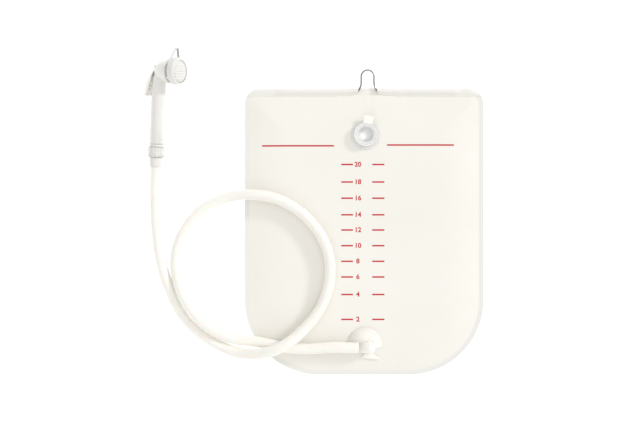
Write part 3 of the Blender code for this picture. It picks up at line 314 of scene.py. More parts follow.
def remap(tree, value, low, high, from_low=0.0, from_high=1.0):
    inputs = {"Value": value, "From Min": from_low, "From Max": from_high, "To Min": low, "To Max": high}
    return node(tree, "ShaderNodeMapRange", inputs).outputs["Result"]


def mix_colour(tree, share, first, second):
    made = node(tree, "ShaderNodeMix", data_type="RGBA")
    for index, value in ((0, share), (6, first), (7, second)):
        feed(tree, made.inputs[index], value)
    return made.outputs[2]


# %% Shared effects
COLOUR, FLOAT, VECTOR = "NodeSocketColor", "NodeSocketFloat", "NodeSocketVector"


def build_cloud():
    """Cloud: slow noise mixes a lighter and a darker colour, as uneven plastic does."""
    inputs = (("Vector", VECTOR, None), ("Light", COLOUR, None), ("Dark", COLOUR, None), ("Scale", FLOAT, 9.0))
    group, start, end = new_group("cloud", inputs, (("Colour", COLOUR), ("Mask", FLOAT)))
    ports = start.outputs
    slow = scaled_noise(group, ports["Vector"], ports["Scale"], 4.0, 0.55)
    mask = remap(group, slow, 0.0, 1.0, 0.32, 0.68)
    group.links.new(mix_colour(group, mask, ports["Dark"], ports["Light"]), end.inputs["Colour"])
    group.links.new(mask, end.inputs["Mask"])
    return group


def build_skin():
    """Skin: the fine uneven surface of moulded vinyl or plastic, as a height and a roughness."""
    inputs = (
        ("Vector", VECTOR, None),
        ("Scale", FLOAT, 700.0),
        ("Rough Low", FLOAT, 0.25),
        ("Rough High", FLOAT, 0.4),
    )
    group, start, end = new_group("skin", inputs, (("Height", FLOAT), ("Roughness", FLOAT)))
    ports = start.outputs
    fine = scaled_noise(group, ports["Vector"], ports["Scale"], 2.0)
    broad_scale = math_node(group, "MULTIPLY", ports["Scale"], 0.08)
    broad = scaled_noise(group, ports["Vector"], broad_scale, 3.0)
    height = math_node(group, "ADD", fine, math_node(group, "MULTIPLY", broad, 1.6))
    roughness = remap(group, broad, ports["Rough Low"], ports["Rough High"], 0.3, 0.7)
    group.links.new(height, end.inputs["Height"])
    group.links.new(roughness, end.inputs["Roughness"])
    return group


def build_rubbed():
    """Rubbed: thin stretched noise gives a few faint scratches, as a mask."""
    inputs = (("Vector", VECTOR, None), ("Scale", FLOAT, 60.0), ("Amount", FLOAT, 0.5))
    group, start, end = new_group("rubbed", inputs, (("Mask", FLOAT),))
    ports = start.outputs
    turned = node(group, "ShaderNodeMapping", {"Vector": ports["Vector"], "Rotation": (0.3, 0.2, 0.7)})
    turned.inputs["Scale"].default_value = (1.0, 9.0, 2.0)
    fine = scaled_noise(group, turned.outputs["Vector"], ports["Scale"], 5.0, 0.7)
    sharp = remap(group, fine, 0.0, 1.0, 0.62, 0.72)
    group.links.new(math_node(group, "MULTIPLY", sharp, ports["Amount"]), end.inputs["Mask"])
    return group


cloud_group, skin_group, rubbed_group = build_cloud(), build_skin(), build_rubbed()


def use_group(tree, group, **inputs):
    """A shared effect placed in a material, with its inputs fed; its outputs come back."""
    made = tree.nodes.new("ShaderNodeGroup")
    made.node_tree = group
    for socket, value in inputs.items():
        feed(tree, made.inputs[socket.replace("_", " ")], value)
    return made.outputs


def new_finish(name):
    """A material with only a Principled shader and its output; Object coordinates come back too."""
    material = bpy.data.materials.new(name)
    material.use_nodes = True
    tree = material.node_tree
    shader = tree.nodes["Principled BSDF"]
    place = tree.nodes.new("ShaderNodeTexCoord").outputs["Object"]
    return material, tree, shader, place


def surface(tree, shader, place, light, dark, cloud_scale, skin_scale, rough):
    """Clouded colour and moulded skin, linked to the shader; the outputs of both groups come back."""
    cloud = use_group(tree, cloud_group, Vector=place, Light=light, Dark=dark, Scale=cloud_scale)
    tree.links.new(cloud["Colour"], shader.inputs["Base Color"])
    skin = use_group(tree, skin_group, Vector=place, Scale=skin_scale, Rough_Low=rough[0], Rough_High=rough[1])
    tree.links.new(skin["Roughness"], shader.inputs["Roughness"])
    return cloud, skin


def set_bump(tree, shader, height, strength, distance):
    bump = node(tree, "ShaderNodeBump", {"Height": height, "Strength": strength, "Distance": distance})
    tree.links.new(bump.outputs["Normal"], shader.inputs["Normal"])


def set_sockets(shader, **values):
    for socket, value in values.items():
        shader.inputs[socket.replace("_", " ")].default_value = value

# %% [markdown]
# ### Moulded finishes
# White plastic is never quite one white: its colour drifts a little, and its gloss is broken by the skin of
# the mould. The same recipe with other values gives the rose, the soft vinyl of the outlet and black rubber.

# %% White plastic, white vinyl and rubber
SCRATCH_SCALE = 55.0
SCRATCH_ROUGHNESS = 0.25
SKIN_DEPTH = 0.00006


def moulded(name, light, dark, cloud_scale, skin_scale, rough, bump, scratches, coat, soft):
    """Clouded colour, skin for bump and roughness, and scratches that roughen and darken a little.

    Soft vinyl is also bright at its edges, which soft stands for."""
    material, tree, shader, place = new_finish(name)
    light, dark = (*light, 1), (*dark, 1)
    cloud, skin = surface(tree, shader, place, light, dark, cloud_scale, skin_scale, rough)
    rubbed = use_group(tree, rubbed_group, Vector=place, Scale=SCRATCH_SCALE, Amount=scratches)
    worn = mix_colour(tree, rubbed["Mask"], cloud["Colour"], dark)
    tree.links.new(worn, shader.inputs["Base Color"])
    roughened = math_node(tree, "MULTIPLY", rubbed["Mask"], SCRATCH_ROUGHNESS)
    roughness = math_node(tree, "ADD", skin["Roughness"], roughened)
    tree.links.new(roughness, shader.inputs["Roughness"])
    set_bump(tree, shader, skin["Height"], bump, SKIN_DEPTH)
    set_sockets(shader, Coat_Weight=coat, Coat_Roughness=0.1)
    set_sockets(shader, Sheen_Weight=soft, Sheen_Roughness=0.6)
    return material


# Name, light and dark colour, cloud and skin scale, roughness from and to, bump, scratches, coat, soft.
MOULDED = (
    ("white_plastic", (0.8, 0.786, 0.756), (0.772, 0.756, 0.724), 18, 900, (0.24, 0.34), 0.35, 0.12, 0.08, 0.1),
    ("rose_plastic", (0.775, 0.765, 0.738), (0.75, 0.738, 0.71), 24, 760, (0.38, 0.5), 0.45, 0.0, 0.0, 0.0),
    ("white_vinyl", (0.975, 0.945, 0.888), (0.95, 0.918, 0.858), 14, 620, (0.46, 0.58), 0.45, 0.1, 0.0, 0.8),
    ("elbow_vinyl", (0.945, 0.914, 0.858), (0.92, 0.888, 0.83), 14, 620, (0.5, 0.62), 0.45, 0.0, 0.0, 0.8),
    ("black_rubber", (0.03, 0.03, 0.03), (0.018, 0.018, 0.018), 30, 1400, (0.55, 0.75), 0.8, 0.0, 0.0, 0.0),
)
white_plastic, rose_plastic, white_vinyl, elbow_vinyl, black_rubber = (moulded(*row) for row in MOULDED)

# %% Hose vinyl


def hose_finish():
    """Extruded vinyl: faint lines run along the tube, read from its own UV map.

    Light goes a few millimetres into soft vinyl and its edges are bright, so its tone is nearly flat."""
    material, tree, shader, place = new_finish("hose_vinyl")
    light, dark = (0.950, 0.918, 0.860, 1), (0.925, 0.892, 0.832, 1)
    _, skin = surface(tree, shader, place, light, dark, 22.0, 520.0, (0.42, 0.52))
    own_map = node(tree, "ShaderNodeUVMap", uv_map="along").outputs["UV"]
    stretched = node(tree, "ShaderNodeMapping", {"Vector": own_map, "Scale": (34.0, 6.0, 1.0)})
    lines = scaled_noise(tree, stretched.outputs["Vector"], 1.0, 2.0)
    height = math_node(tree, "ADD", skin["Height"], math_node(tree, "MULTIPLY", lines, 2.2))
    set_bump(tree, shader, height, 0.5, 0.00005)
    set_sockets(shader, Subsurface_Weight=0.3, Subsurface_Scale=0.004)
    set_sockets(shader, Sheen_Weight=0.35, Sheen_Roughness=0.6)
    return material


hose.data.materials.append(hose_finish())

# %% [markdown]
# ### Clear vinyl and metal
# The stopper and its neck are clear soft vinyl. Glass would need many rays to look right in so small a cup,
# so it is a glossy surface that is partly see-through. An emission paints a highlight in the cup, where the
# light through its wall would gather, and a faint glow on the rest of the clear vinyl. The hook is drawn steel
# wire with fine lines along it, and the handset's hanger is polished chrome plate. Metal shows what is round
# it, so its colour stays plain and its roughness carries the detail.

# %% Clear vinyl, steel and chrome
# A painted highlight: an emission paints a bright spot in the cup and a faint glow on all the clear vinyl.
PAINTED_CUP_HIGHLIGHT_PLACE = (-0.0020, 0.1405, 0.0)
PAINTED_CUP_HIGHLIGHT_SHARES = (1.0, 0.12)
PAINTED_CUP_HIGHLIGHT_RADII = (0.0012, 0.0068)


def clear_finish():
    """Clear soft vinyl. An emission paints the light that its wall lets into the cup as a bright spot."""
    material, tree, shader, place = new_finish("clear_vinyl")
    light, dark = (0.975, 0.98, 0.975, 1), (0.93, 0.94, 0.93, 1)
    _, skin = surface(tree, shader, place, light, dark, 60.0, 500.0, (0.08, 0.2))
    set_bump(tree, shader, skin["Height"], 0.4, SKIN_DEPTH)
    flat_place = node(tree, "ShaderNodeVectorMath", {0: place, 1: (1.0, 1.0, 0.0)}, operation="MULTIPLY")
    painted_highlight_inputs = {0: flat_place.outputs["Vector"], 1: PAINTED_CUP_HIGHLIGHT_PLACE}
    away = node(tree, "ShaderNodeVectorMath", painted_highlight_inputs, operation="DISTANCE").outputs["Value"]
    # glow here is the painted highlight's share: full at the spot in the cup, a faint painted glow further out.
    glow = remap(tree, away, *PAINTED_CUP_HIGHLIGHT_SHARES, *PAINTED_CUP_HIGHLIGHT_RADII)
    tree.links.new(mix_colour(tree, glow, (0, 0, 0, 1), (0.96, 1.0, 0.97, 1)), shader.inputs["Emission Color"])
    set_sockets(shader, IOR=1.5, Alpha=0.6, Coat_Weight=0.5, Coat_Roughness=0.06, Emission_Strength=0.33)
    set_sockets(shader, Sheen_Weight=0.4, Sheen_Roughness=0.5)
    return material


def metal_finish(name, light, dark, rough, stretch, bump):
    """Metal with fine stretched lines that change its gloss."""
    material, tree, shader, place = new_finish(name)
    cloud = use_group(tree, cloud_group, Vector=place, Light=light, Dark=dark, Scale=40.0)
    tree.links.new(cloud["Colour"], shader.inputs["Base Color"])
    drawn = node(tree, "ShaderNodeMapping", {"Vector": place, "Scale": stretch})
    lines = scaled_noise(tree, drawn.outputs["Vector"], 300.0, 3.0)
    tree.links.new(remap(tree, lines, rough[0], rough[1], 0.3, 0.7), shader.inputs["Roughness"])
    set_bump(tree, shader, lines, bump, 0.00004)
    set_sockets(shader, Metallic=1.0)
    return material


clear_vinyl = clear_finish()
steel = metal_finish(
    "steel_wire", (0.34, 0.34, 0.35, 1), (0.25, 0.25, 0.26, 1), (0.14, 0.26), (0.15, 1.0, 1.0), 0.4
)
chrome = metal_finish(
    "chrome", (0.60, 0.605, 0.615, 1), (0.53, 0.535, 0.55, 1), (0.08, 0.16), (1.0, 1.0, 0.3), 0.15
)

# %% [markdown]
# ### Carried-over nodes
# The rigid solids already have their real shapes, so they only change finish. The hidden ones stay as they
# are, and the ones that can be seen are copied further down, finish and all.

# %% Give the rigid nodes their finish
NODE_FINISH = {
    "hanger_wire": steel,
    "filler_neck": clear_vinyl,
    "filler_plug": clear_vinyl,
    "plug_tab": white_vinyl,
    "outlet_patch": white_vinyl,
    "outlet_elbow": elbow_vinyl,
    "hose_ferrule": white_plastic,
    "hose_tail": white_plastic,
    "tail_washer": black_rubber,
    "union_nut": white_plastic,
    "handle_collar": white_plastic,
    "handle_body": white_plastic,
    "rose_gasket": black_rubber,
    "spray_plate": rose_plastic,
    "rose_ring": rose_plastic,
    "bail": chrome,
    "thumb_lever": white_vinyl,
    "lever_pin": white_plastic,
    "valve_stem": white_plastic,
    "valve_seal": black_rubber,
    "stem_seal": black_rubber,
    "gland_washer": steel,
    "valve_spring": steel,
}


def dress(name, finish):
    """Put one finish in every slot of a CAD node."""
    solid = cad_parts[name]
    if not solid.material_slots:
        solid.data.materials.append(finish)
    for slot in solid.material_slots:
        slot.material = finish


for node_name, finish in NODE_FINISH.items():
    dress(node_name, finish)
print("dressed", len(NODE_FINISH), "nodes")

# %% [markdown]
# ### Smooth copies of the rigid solids
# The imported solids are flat-sided. The real mouldings are round, so each one that can be seen gets a copy
# whose faces are shaded smooth across every bend under a given angle. The copy stands in for the solid. A
# subdivision surface would round it too, but it would also eat the edges. The outlet patch's flap is moved
# a little on its copy, to where the photograph shows it.

# %% Copy the rigid solids that can be seen
PATCH_HOLE = (0.0075, -0.168)
PATCH_HOLE_RADIUS = 0.0062
PATCH_FOOT_TOP = -0.176
FLAP_FADE, FOOT_FADE = 0.010, 0.004
FLAP_MOVE = np.array((-0.0058, 0.0055, 0.0004))
FOOT_MOVE = np.array((0.0035, 0.0, 0.0))
SMOOTH_COPIES = {
    "filler_neck": ("bag_and_handset", "clear_vinyl", 40),
    "filler_plug": ("plug", "clear_vinyl", 40),
    "plug_tab": ("plug", "white_vinyl", 40),
    "outlet_patch": ("bag_and_handset", "white_vinyl", 40),
    "outlet_elbow": ("bag_and_handset", "white_vinyl", 48),
    "hose_ferrule": ("bag_and_handset", "white_plastic", 40),
    "union_nut": ("nut", "white_plastic", 32),
    "handle_collar": ("bag_and_handset", "white_plastic", 40),
    "handle_body": ("bag_and_handset", "white_plastic", 36),
    "spray_plate": ("rose", "white_plastic", 12),
    "rose_ring": ("rose", "white_plastic", 40),
    "bail": ("bail", "chrome", 40),
    "thumb_lever": ("lever", "white_plastic", 36),
}


def warped_patch(places):
    """The patch's round flap moved up and to the left, its foot to the right, its hole left alone."""
    away = np.hypot(places[:, 0] - PATCH_HOLE[0], places[:, 1] - PATCH_HOLE[1]) - PATCH_HOLE_RADIUS
    flap = np.clip(away / FLAP_FADE, 0, 1) * (places[:, 1] > PATCH_FOOT_TOP)
    foot = np.clip((PATCH_FOOT_TOP - places[:, 1]) / FOOT_FADE, 0, 1)
    return places + flap[:, None] * FLAP_MOVE + foot[:, None] * FOOT_MOVE


def smooth_copy(name, body, degrees):
    """A copy of a rigid solid with its doubles merged and its gentle bends shaded smooth."""
    piece = bpy.data.objects.new(f"{name}_smooth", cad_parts[name].data.copy())
    bpy.context.scene.collection.objects.link(piece)
    if name == "outlet_patch":
        set_places(piece.data, warped_patch(vertex_places(piece.data)))
    tidy(piece, angle=math.radians(degrees))
    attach(piece, body)
    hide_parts(name)


for node_name, (body, slot_name, degrees) in SMOOTH_COPIES.items():
    smooth_copy(node_name, body, degrees)
print("smooth copies:", len(SMOOTH_COPIES))

# %% [markdown]
# ### The hanging wire
# The hook and its two arms are one piece of drawn wire, bent cold. It could be a curve with a round bevel,
# but a tube along the bent line uses the hose's own function. The line's corners are cut three times, each
# time at a quarter of each span, which gives round bends.

# %% Hanging wire
WIRE_RADIUS = 0.0012
WIRE_PLACE = (0.005, 0.2073, 0.0045)
WIRE_SIDES = 24
CROWN_POINTS = 25
CORNER_CUTS = 3
WIRE_END_LENGTHS = (0.0, 0.0003, 0.0008)
WIRE_END_RADII = (0.0, 0.0008, 0.0012)
HOOK_HALF = 0.0094
HOOK_CROWN = 0.0213
ARM_REACH = 0.130
HOOK_RIGHT = (
    (0.1290, 0.0), (0.0210, 0.0), (0.0165, 0.0), (0.0143, 0.0), (0.0133, 0.0007),
    (0.0125, 0.0022), (0.0107, 0.0056), (0.0097, 0.0086), (0.0094, 0.0114),
)


def rounded(points, passes):
    """Cut every corner of an open line, each time at a quarter and three quarters of each span."""
    for _ in range(passes):
        near, far = points[:-1], points[1:]
        inner = np.stack([0.75 * near + 0.25 * far, 0.25 * near + 0.75 * far], axis=1).reshape(-1, 2)
        points = np.concatenate([points[:1], inner, points[-1:]])
    return points


def wire_line():
    """The wire's middle line and its radius at each point, from the right arm's end to the left one's."""
    angle = np.linspace(0, math.pi, CROWN_POINTS)
    crown = np.stack([HOOK_HALF * np.cos(angle), HOOK_CROWN + HOOK_HALF * np.sin(angle)], axis=1)
    right = np.array(HOOK_RIGHT)
    bent = rounded(np.concatenate([right, crown, right[::-1] * (-1, 1)]), CORNER_CUTS)
    end = np.array([(ARM_REACH - length, 0.0) for length in WIRE_END_LENGTHS])
    flat = np.concatenate([end, bent, end[::-1] * (-1, 1)])
    radius = np.concatenate([WIRE_END_RADII, np.full(len(bent), WIRE_RADIUS), WIRE_END_RADII[::-1]])
    return np.column_stack([flat, np.zeros(len(flat))]) + WIRE_PLACE, radius


wire_points, wire_radius = wire_line()
hanging_wire = grid_piece("hanging_wire", tube_grid(wire_points, wire_radius, WIRE_SIDES))
hanging_wire.data.materials.append(steel)
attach(hanging_wire, "hanger")
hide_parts("hanger_wire")

# %% [markdown]
# ## The bag's film
# The bag is two sheets of milky vinyl welded round the edge. The back sheet lies flat. The front sheet
# leaves the weld, swells over 60 mm and is level in the middle, with soft puckers along the weld, a shallow
# dent under the hose and a top edge that the hook draws up a little. A cloth simulation could puff it up, but
# a film that is nearly empty is better described by its own height formula, which the print can ask for too.

# %% Film height
BAG_WIDTH = 0.352
BAG_HEIGHT = 0.421
TOP_RADIUS = 0.022
BOTTOM_RADIUS = 0.110
FILM_FLOOR = 0.0008
FILM_EDGE_TOP = 0.0019
WELD = 0.007
TOP_WELD_EXTRA = 0.004
LOFT = 0.0075
HANGER_X = 0.005
PULL, PULL_WIDTH = 0.0013, 0.030
PULL_START, PULL_FADE = 0.170, 0.038
LYING_HOSE_TOP = 0.0192
DENT_DEPTH, DENT_WIDTH, DENT_EVERY = 0.00045, 0.0065, 4
PUCKER_DEPTH, PUCKER_RISE, PUCKER_FADE = 0.00042, 0.006, 0.014
PUCKER_WAVES, PUCKER_SWAY, PUCKER_BEATS = 41, (1.3, 7), (13, 0.8)
SLOW_DENTS = (
    (0.00038, (0.21, 1.1, 0.6), (0.13, -0.4, 2.1)),
    (0.00022, (0.071, 0.5, 1.0), (0.113, 2.2, 0.2)),
)
SLOW_DENT_RISE = 0.03
GROOVE_INSETS = (0.0022, 0.0056)
GROOVE_DEPTH, GROOVE_WIDTH = 0.00016, 0.0006
THINNING, THINNING_REACH = 0.0005, 0.004
RAMP = 0.060


def edge_distance(x, y, top=0.0):
    """How far inside the outline a point is: beside a corner's round, the corner's radius less the
    distance to its centre, and elsewhere the distance to the nearest side."""
    half_height = (BAG_HEIGHT - top) / 2
    middle = -top / 2
    radius = np.where(y > middle, TOP_RADIUS, BOTTOM_RADIUS)
    across = np.abs(x) - (BAG_WIDTH / 2 - radius)
    upward = np.abs(y - middle) - (half_height - radius)
    outside = np.hypot(np.maximum(across, 0), np.maximum(upward, 0))
    return radius - outside - np.minimum(np.maximum(across, upward), 0)


def soft_step(value):
    """0 below 0, 1 above 1, and a smooth S between."""
    share = np.clip(value, 0, 1)
    return share * share * (3 - 2 * share)


def swell(x, y):
    """The film's rise above the weld: the loft times one less the square of what is left of the ramp."""
    left = 1 - np.clip((edge_distance(x, y, TOP_WELD_EXTRA) - WELD) / RAMP, 0, 1)
    return LOFT * (1 - left**2)


def wave(x, y, length, heading, phase):
    """A plane wave of one length and heading, from 0 to 1."""
    along = x * math.cos(heading) + y * math.sin(heading)
    return 0.5 + 0.5 * np.sin(2 * math.pi * along / length + phase)


def hose_dent(x, y):
    """A shallow trough under the hose where it lies on the bag: a bell curve of the distance to it."""
    low = hose_line[hose_line[:, 2] < LYING_HOSE_TOP][::DENT_EVERY]
    near = np.min(np.hypot(x[..., None] - low[:, 0], y[..., None] - low[:, 1]), axis=-1)
    return DENT_DEPTH * np.exp(-((near / DENT_WIDTH) ** 2))


def hook_pull(x, y):
    """How far the hook draws the top edge up: a bell curve along the edge that fades 40 mm down."""
    return PULL * np.exp(-(((x - HANGER_X) / PULL_WIDTH) ** 2)) * soft_step((y - PULL_START) / PULL_FADE)


def puckers(x, y):
    """Small creases square to the weld that fade into the bag, and slow dents in the middle.

    The creases are a product of waves of the bearing, the dents are products of two plane waves."""
    inside = edge_distance(x, y, TOP_WELD_EXTRA) - WELD
    around = np.arctan2(y, x)
    sway = PUCKER_SWAY[0] * np.sin(PUCKER_SWAY[1] * around)
    spread = np.sin(PUCKER_WAVES * around + sway) * np.sin(PUCKER_BEATS[0] * around + PUCKER_BEATS[1])
    edge = PUCKER_DEPTH * np.abs(spread) * soft_step(inside / PUCKER_RISE) * np.exp(-inside / PUCKER_FADE)
    slow = sum(depth * wave(x, y, *first) * wave(x, y, *second) for depth, first, second in SLOW_DENTS)
    return edge + slow * soft_step(inside / SLOW_DENT_RISE)


def weld_emboss(x, y):
    """Two fine grooves that the welding bar leaves in the flat edge."""
    inside = edge_distance(x, y)
    return GROOVE_DEPTH * sum(np.exp(-(((inside - inset) / GROOVE_WIDTH) ** 2)) for inset in GROOVE_INSETS)


def film_top(x, y):
    """Height of the front sheet's upper face."""
    return FILM_EDGE_TOP + swell(x, y) - puckers(x, y) - weld_emboss(x, y) - hose_dent(x, y)


def film_thickness(x, y):
    """Fused to the back sheet at the weld, and a thinner sheet on its own inside it."""
    inside = edge_distance(x, y, TOP_WELD_EXTRA) - WELD
    return FILM_EDGE_TOP - FILM_FLOOR - THINNING * soft_step(inside / THINNING_REACH)


# %% Film surfaces
OUTLINE_STEP = 0.0026
CORNERS = np.array([(1, 1, TOP_RADIUS), (-1, 1, TOP_RADIUS), (-1, -1, BOTTOM_RADIUS), (1, -1, BOTTOM_RADIUS)])
EDGE_INSETS = np.array([0.0, 0.0004, 0.0012, 0.0018, 0.0022, 0.0027, 0.0036, 0.0046, 0.0052, 0.0056, 0.0061])
LAST_INSET = 0.0075
INNER_RINGS, REAR_INNER_RINGS = 62, 12
SHEET_ANGLE = math.radians(50)


def outline_points(inset):
    """The bag's outline, moved in by a distance, with the same number of points for each inset."""
    centres = CORNERS[:, :2] * (np.array((BAG_WIDTH, BAG_HEIGHT)) / 2 - CORNERS[:, 2:])
    rounds = []
    for quarter, (centre, radius) in enumerate(zip(centres, CORNERS[:, 2])):
        start = quarter * math.pi / 2
        angle = np.linspace(start, start + math.pi / 2, int(radius * math.pi / 2 / OUTLINE_STEP))
        rounds.append(centre + (radius - inset) * np.stack([np.cos(angle), np.sin(angle)], axis=1))
    joined = []
    for index, corner in enumerate(rounds):
        following = (index + 1) % len(rounds)
        straight = np.linalg.norm(centres[index] - centres[following])
        share = np.linspace(0, 1, int(straight / OUTLINE_STEP) + 2)[1:-1, None]
        joined += [corner, corner[-1] + share * (rounds[following][0] - corner[-1])]
    return np.concatenate(joined)


def film_rings(inner_rings):
    """Rings of points from the outline to the middle, first at true insets, then shrunk to one point."""
    edge = np.stack([outline_points(inset) for inset in EDGE_INSETS])
    share = np.linspace(0, 1, inner_rings + 1)[1:, None, None]
    last = outline_points(LAST_INSET)[None]
    return np.concatenate([edge, last, last * (1 - share)])


def sheet_piece(name, rings, top, bottom):
    """A closed sheet: the upper face runs from the middle to the edge, and the lower face runs back."""
    x, y = rings[..., 0], rings[..., 1]
    pulled = y + hook_pull(x, y)
    upper = np.stack([x, pulled, top(x, y)], axis=-1)[::-1]
    lower = np.stack([x, pulled, bottom(x, y)], axis=-1)
    return grid_piece(name, np.concatenate([upper, lower]), angle=SHEET_ANGLE)


rings = film_rings(INNER_RINGS)
front_film = sheet_piece("front_film", rings, film_top, lambda x, y: film_top(x, y) - film_thickness(x, y))
rear_rings = film_rings(REAR_INNER_RINGS)
rear_film = sheet_piece(
    "rear_film", rear_rings, lambda x, y: np.full_like(x, FILM_FLOOR), lambda x, y: np.zeros_like(x)
)

# %% Filler hole in the front sheet
FILLER_PLACE = (0.002, 0.1425)
FILLER_HOLE = 0.0137
CUT_LOW, CUT_HIGH, CUT_SIDES = 0.002, 0.02, 96


def cut_round(piece, name, centre, radius, low, high):
    """Cut a round hole by a boolean with a many-sided rod, then keep the result as the mesh."""
    angle = np.linspace(0, 2 * math.pi, CUT_SIDES, endpoint=False)
    ring = np.stack([centre[0] + radius * np.cos(angle), centre[1] + radius * np.sin(angle)], axis=1)
    middle = np.broadcast_to(np.array(centre), ring.shape)
    layers = ((middle, low), (ring, low), (ring, high), (middle, high))
    grid = np.stack([np.column_stack([points, np.full(len(points), z)]) for points, z in layers])
    rod = grid_piece(name, grid)
    modifier = piece.modifiers.new("cut", "BOOLEAN")
    modifier.operation, modifier.object, modifier.solver = "DIFFERENCE", rod, "EXACT"
    sight = bpy.context.evaluated_depsgraph_get()
    cut_mesh = bpy.data.meshes.new_from_object(piece.evaluated_get(sight))
    piece.modifiers.clear()
    piece.data = cut_mesh
    bpy.data.objects.remove(rod)
    piece.data.polygons.foreach_set("use_smooth", np.full(len(piece.data.polygons), True))
    piece.data.set_sharp_from_angle(angle=SHEET_ANGLE)


cut_round(front_film, "filler_cut", FILLER_PLACE, FILLER_HOLE, CUT_LOW, CUT_HIGH)

# %% Film finish
WELD_PAINT_START, WELD_PAINT_FADE = 0.0055, 0.0025


def film_finish():
    """Milky vinyl: the weld is clearer, so it looks greyer, but not where the hook stretches it."""
    material, tree, shader, place = new_finish("milky_film")
    light, dark = (0.880, 0.860, 0.806, 1), (0.860, 0.838, 0.779, 1)
    cloud, skin = surface(tree, shader, place, light, dark, 7.0, 360.0, (0.34, 0.5))
    weld = node(tree, "ShaderNodeAttribute", attribute_name="weld").outputs["Fac"]
    colour = mix_colour(tree, weld, cloud["Colour"], (0.800, 0.800, 0.765, 1))
    tree.links.new(colour, shader.inputs["Base Color"])
    set_bump(tree, shader, skin["Height"], 0.5, 0.00008)
    return material


milky_film = film_finish()
for film in (front_film, rear_film):
    places = vertex_places(film.data)
    inside = edge_distance(places[:, 0], places[:, 1])
    pulled = hook_pull(places[:, 0], places[:, 1]) / PULL
    paint(film, "weld", (1 - soft_step((inside - WELD_PAINT_START) / WELD_PAINT_FADE)) * (1 - pulled**3))
    film.data.materials.append(milky_film)
    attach(film, "bag_and_handset")

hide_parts("front_panel")
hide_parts("rear_panel")

# %% [markdown]
# ## The hem
# Along the top the film is folded over the hanger's two arms and welded down. It could be a part of the
# front sheet, but a shell of its own keeps both simple. The fold is full over the wire, lower past the wire's
# ends, and open at the notch round the hook, where its welded edge sweeps up.

# %% Hem surface
HEM_NEAR, HEM_FAR = 0.2000, 0.2102
HEM_LOW = 0.0022
HEM_WALL = 0.0005
HEM_LIP_SHARE = 0.06
SLOPE_NEAR, SLOPE_FAR = 0.2002, 0.2062
CAP_MIDDLE = 0.2088
HEM_LIP_INSET = 0.0028
HEM_WALL_SHARE = 0.3
HEM_CROWN, HEM_END_DROP = 0.0040, 0.0020
HEM_END_BEFORE, HEM_END_LENGTH = 0.003, 0.012
HEM_RIPPLE, HEM_RIPPLE_WAVES = 0.00010, (230, 71)
HEM_WAVER, HEM_WAVER_WAVES = 0.0002, 310
HEM_TIP_SHARE, HEM_TIP_HEIGHT = 0.05, 0.12
HEM_SIDE_GAP, HEM_TOP_GAP = 0.0003, 0.0005
NOTCH_FAR, NOTCH_NEAR = 0.0132, 0.0150
SWEEP_UP, SWEEP_LENGTH, SWEEP_FULLER = 0.0032, 0.012, 0.45
HEM_WELD, HEM_WELD_DROP, HEM_WELD_LOW = 0.45, 0.15, 0.003
HEM_ANGLE = math.radians(60)
HEM_ROWS, HEM_HALF_SIDES = 150, 22


def hem_crown(x):
    """Height of the fold over its foot: full over the wire, lower past its ends."""
    past = soft_step((np.abs(x - HANGER_X) - ARM_REACH + HEM_END_BEFORE) / HEM_END_LENGTH)
    ripple = HEM_RIPPLE * np.sin(x * HEM_RIPPLE_WAVES[0]) * np.sin(x * HEM_RIPPLE_WAVES[1] + 0.6)
    return HEM_CROWN - HEM_END_DROP * past + ripple


def hem_section(inset):
    """One turn round the fold's section, as depths and as heights from 0 to 1.

    The top starts with a thin lip, rises in a smooth S and ends in a quarter round over the wire. The
    foot runs straight back. The inner wall starts where the fold is thick enough to be hollow."""
    near = HEM_NEAR + (HEM_LIP_INSET if inset else 0)
    far = HEM_FAR - inset
    turn = np.linspace(0, math.pi, HEM_HALF_SIDES)
    y = near + (far - near) * (1 - np.cos(turn)) / 2
    slope = HEM_LIP_SHARE + (1 - HEM_LIP_SHARE) * soft_step((y - SLOPE_NEAR) / (SLOPE_FAR - SLOPE_NEAR))
    past_cap = np.maximum(y - CAP_MIDDLE, 0) / (far - CAP_MIDDLE)
    height = slope * np.sqrt(np.maximum(1 - past_cap**2, 0))
    return np.concatenate([y, y[::-1]]), np.concatenate([height, np.zeros_like(y)])


def hem_side(side):
    """The left or right fold, from the notch to the bag's round corner, as a closed shell.

    Its welded edge sweeps up towards the notch, where the hook's pull gathers the fold. Height is 0 on the
    foot, so adding it to itself turned round gives the fold's height over and under each point."""

    def wall(inset):
        along = np.linspace(0, 1, HEM_ROWS)[:, None]
        y, height = (np.broadcast_to(part, (HEM_ROWS, 2 * HEM_HALF_SIDES)) for part in hem_section(inset))
        out = (y - HEM_NEAR) / (HEM_FAR - HEM_NEAR)
        start = HANGER_X + side * (NOTCH_NEAR + (NOTCH_FAR - NOTCH_NEAR) * out)
        corner = BAG_HEIGHT / 2 - TOP_RADIUS
        reach = np.sqrt(np.maximum((TOP_RADIUS - HEM_TOP_GAP) ** 2 - (y - corner) ** 2, 0))
        end = side * (BAG_WIDTH / 2 - TOP_RADIUS + reach - HEM_SIDE_GAP)
        x = start + (end - start) * along
        sweep = SWEEP_UP * np.exp((NOTCH_FAR - np.abs(x - HANGER_X)) / SWEEP_LENGTH)
        waver = HEM_WAVER * np.sin(x * HEM_WAVER_WAVES + 1.0)
        y = y + (sweep + waver) * (1 - out) + hook_pull(x, y) * out**2
        tip = HEM_TIP_HEIGHT + (1 - HEM_TIP_HEIGHT) * soft_step((1 - along) / HEM_TIP_SHARE)
        crown = (hem_crown(x) + SWEEP_FULLER * sweep) * tip
        fold = height[:, ::-1] + height
        skin = np.minimum(inset, HEM_WALL_SHARE * fold * crown)
        top = height > 0
        z = HEM_LOW + np.where(top, height * crown - skin, skin)
        return np.stack([x, y, z], axis=-1)

    return np.concatenate([wall(0.0), wall(HEM_WALL)[::-1]])


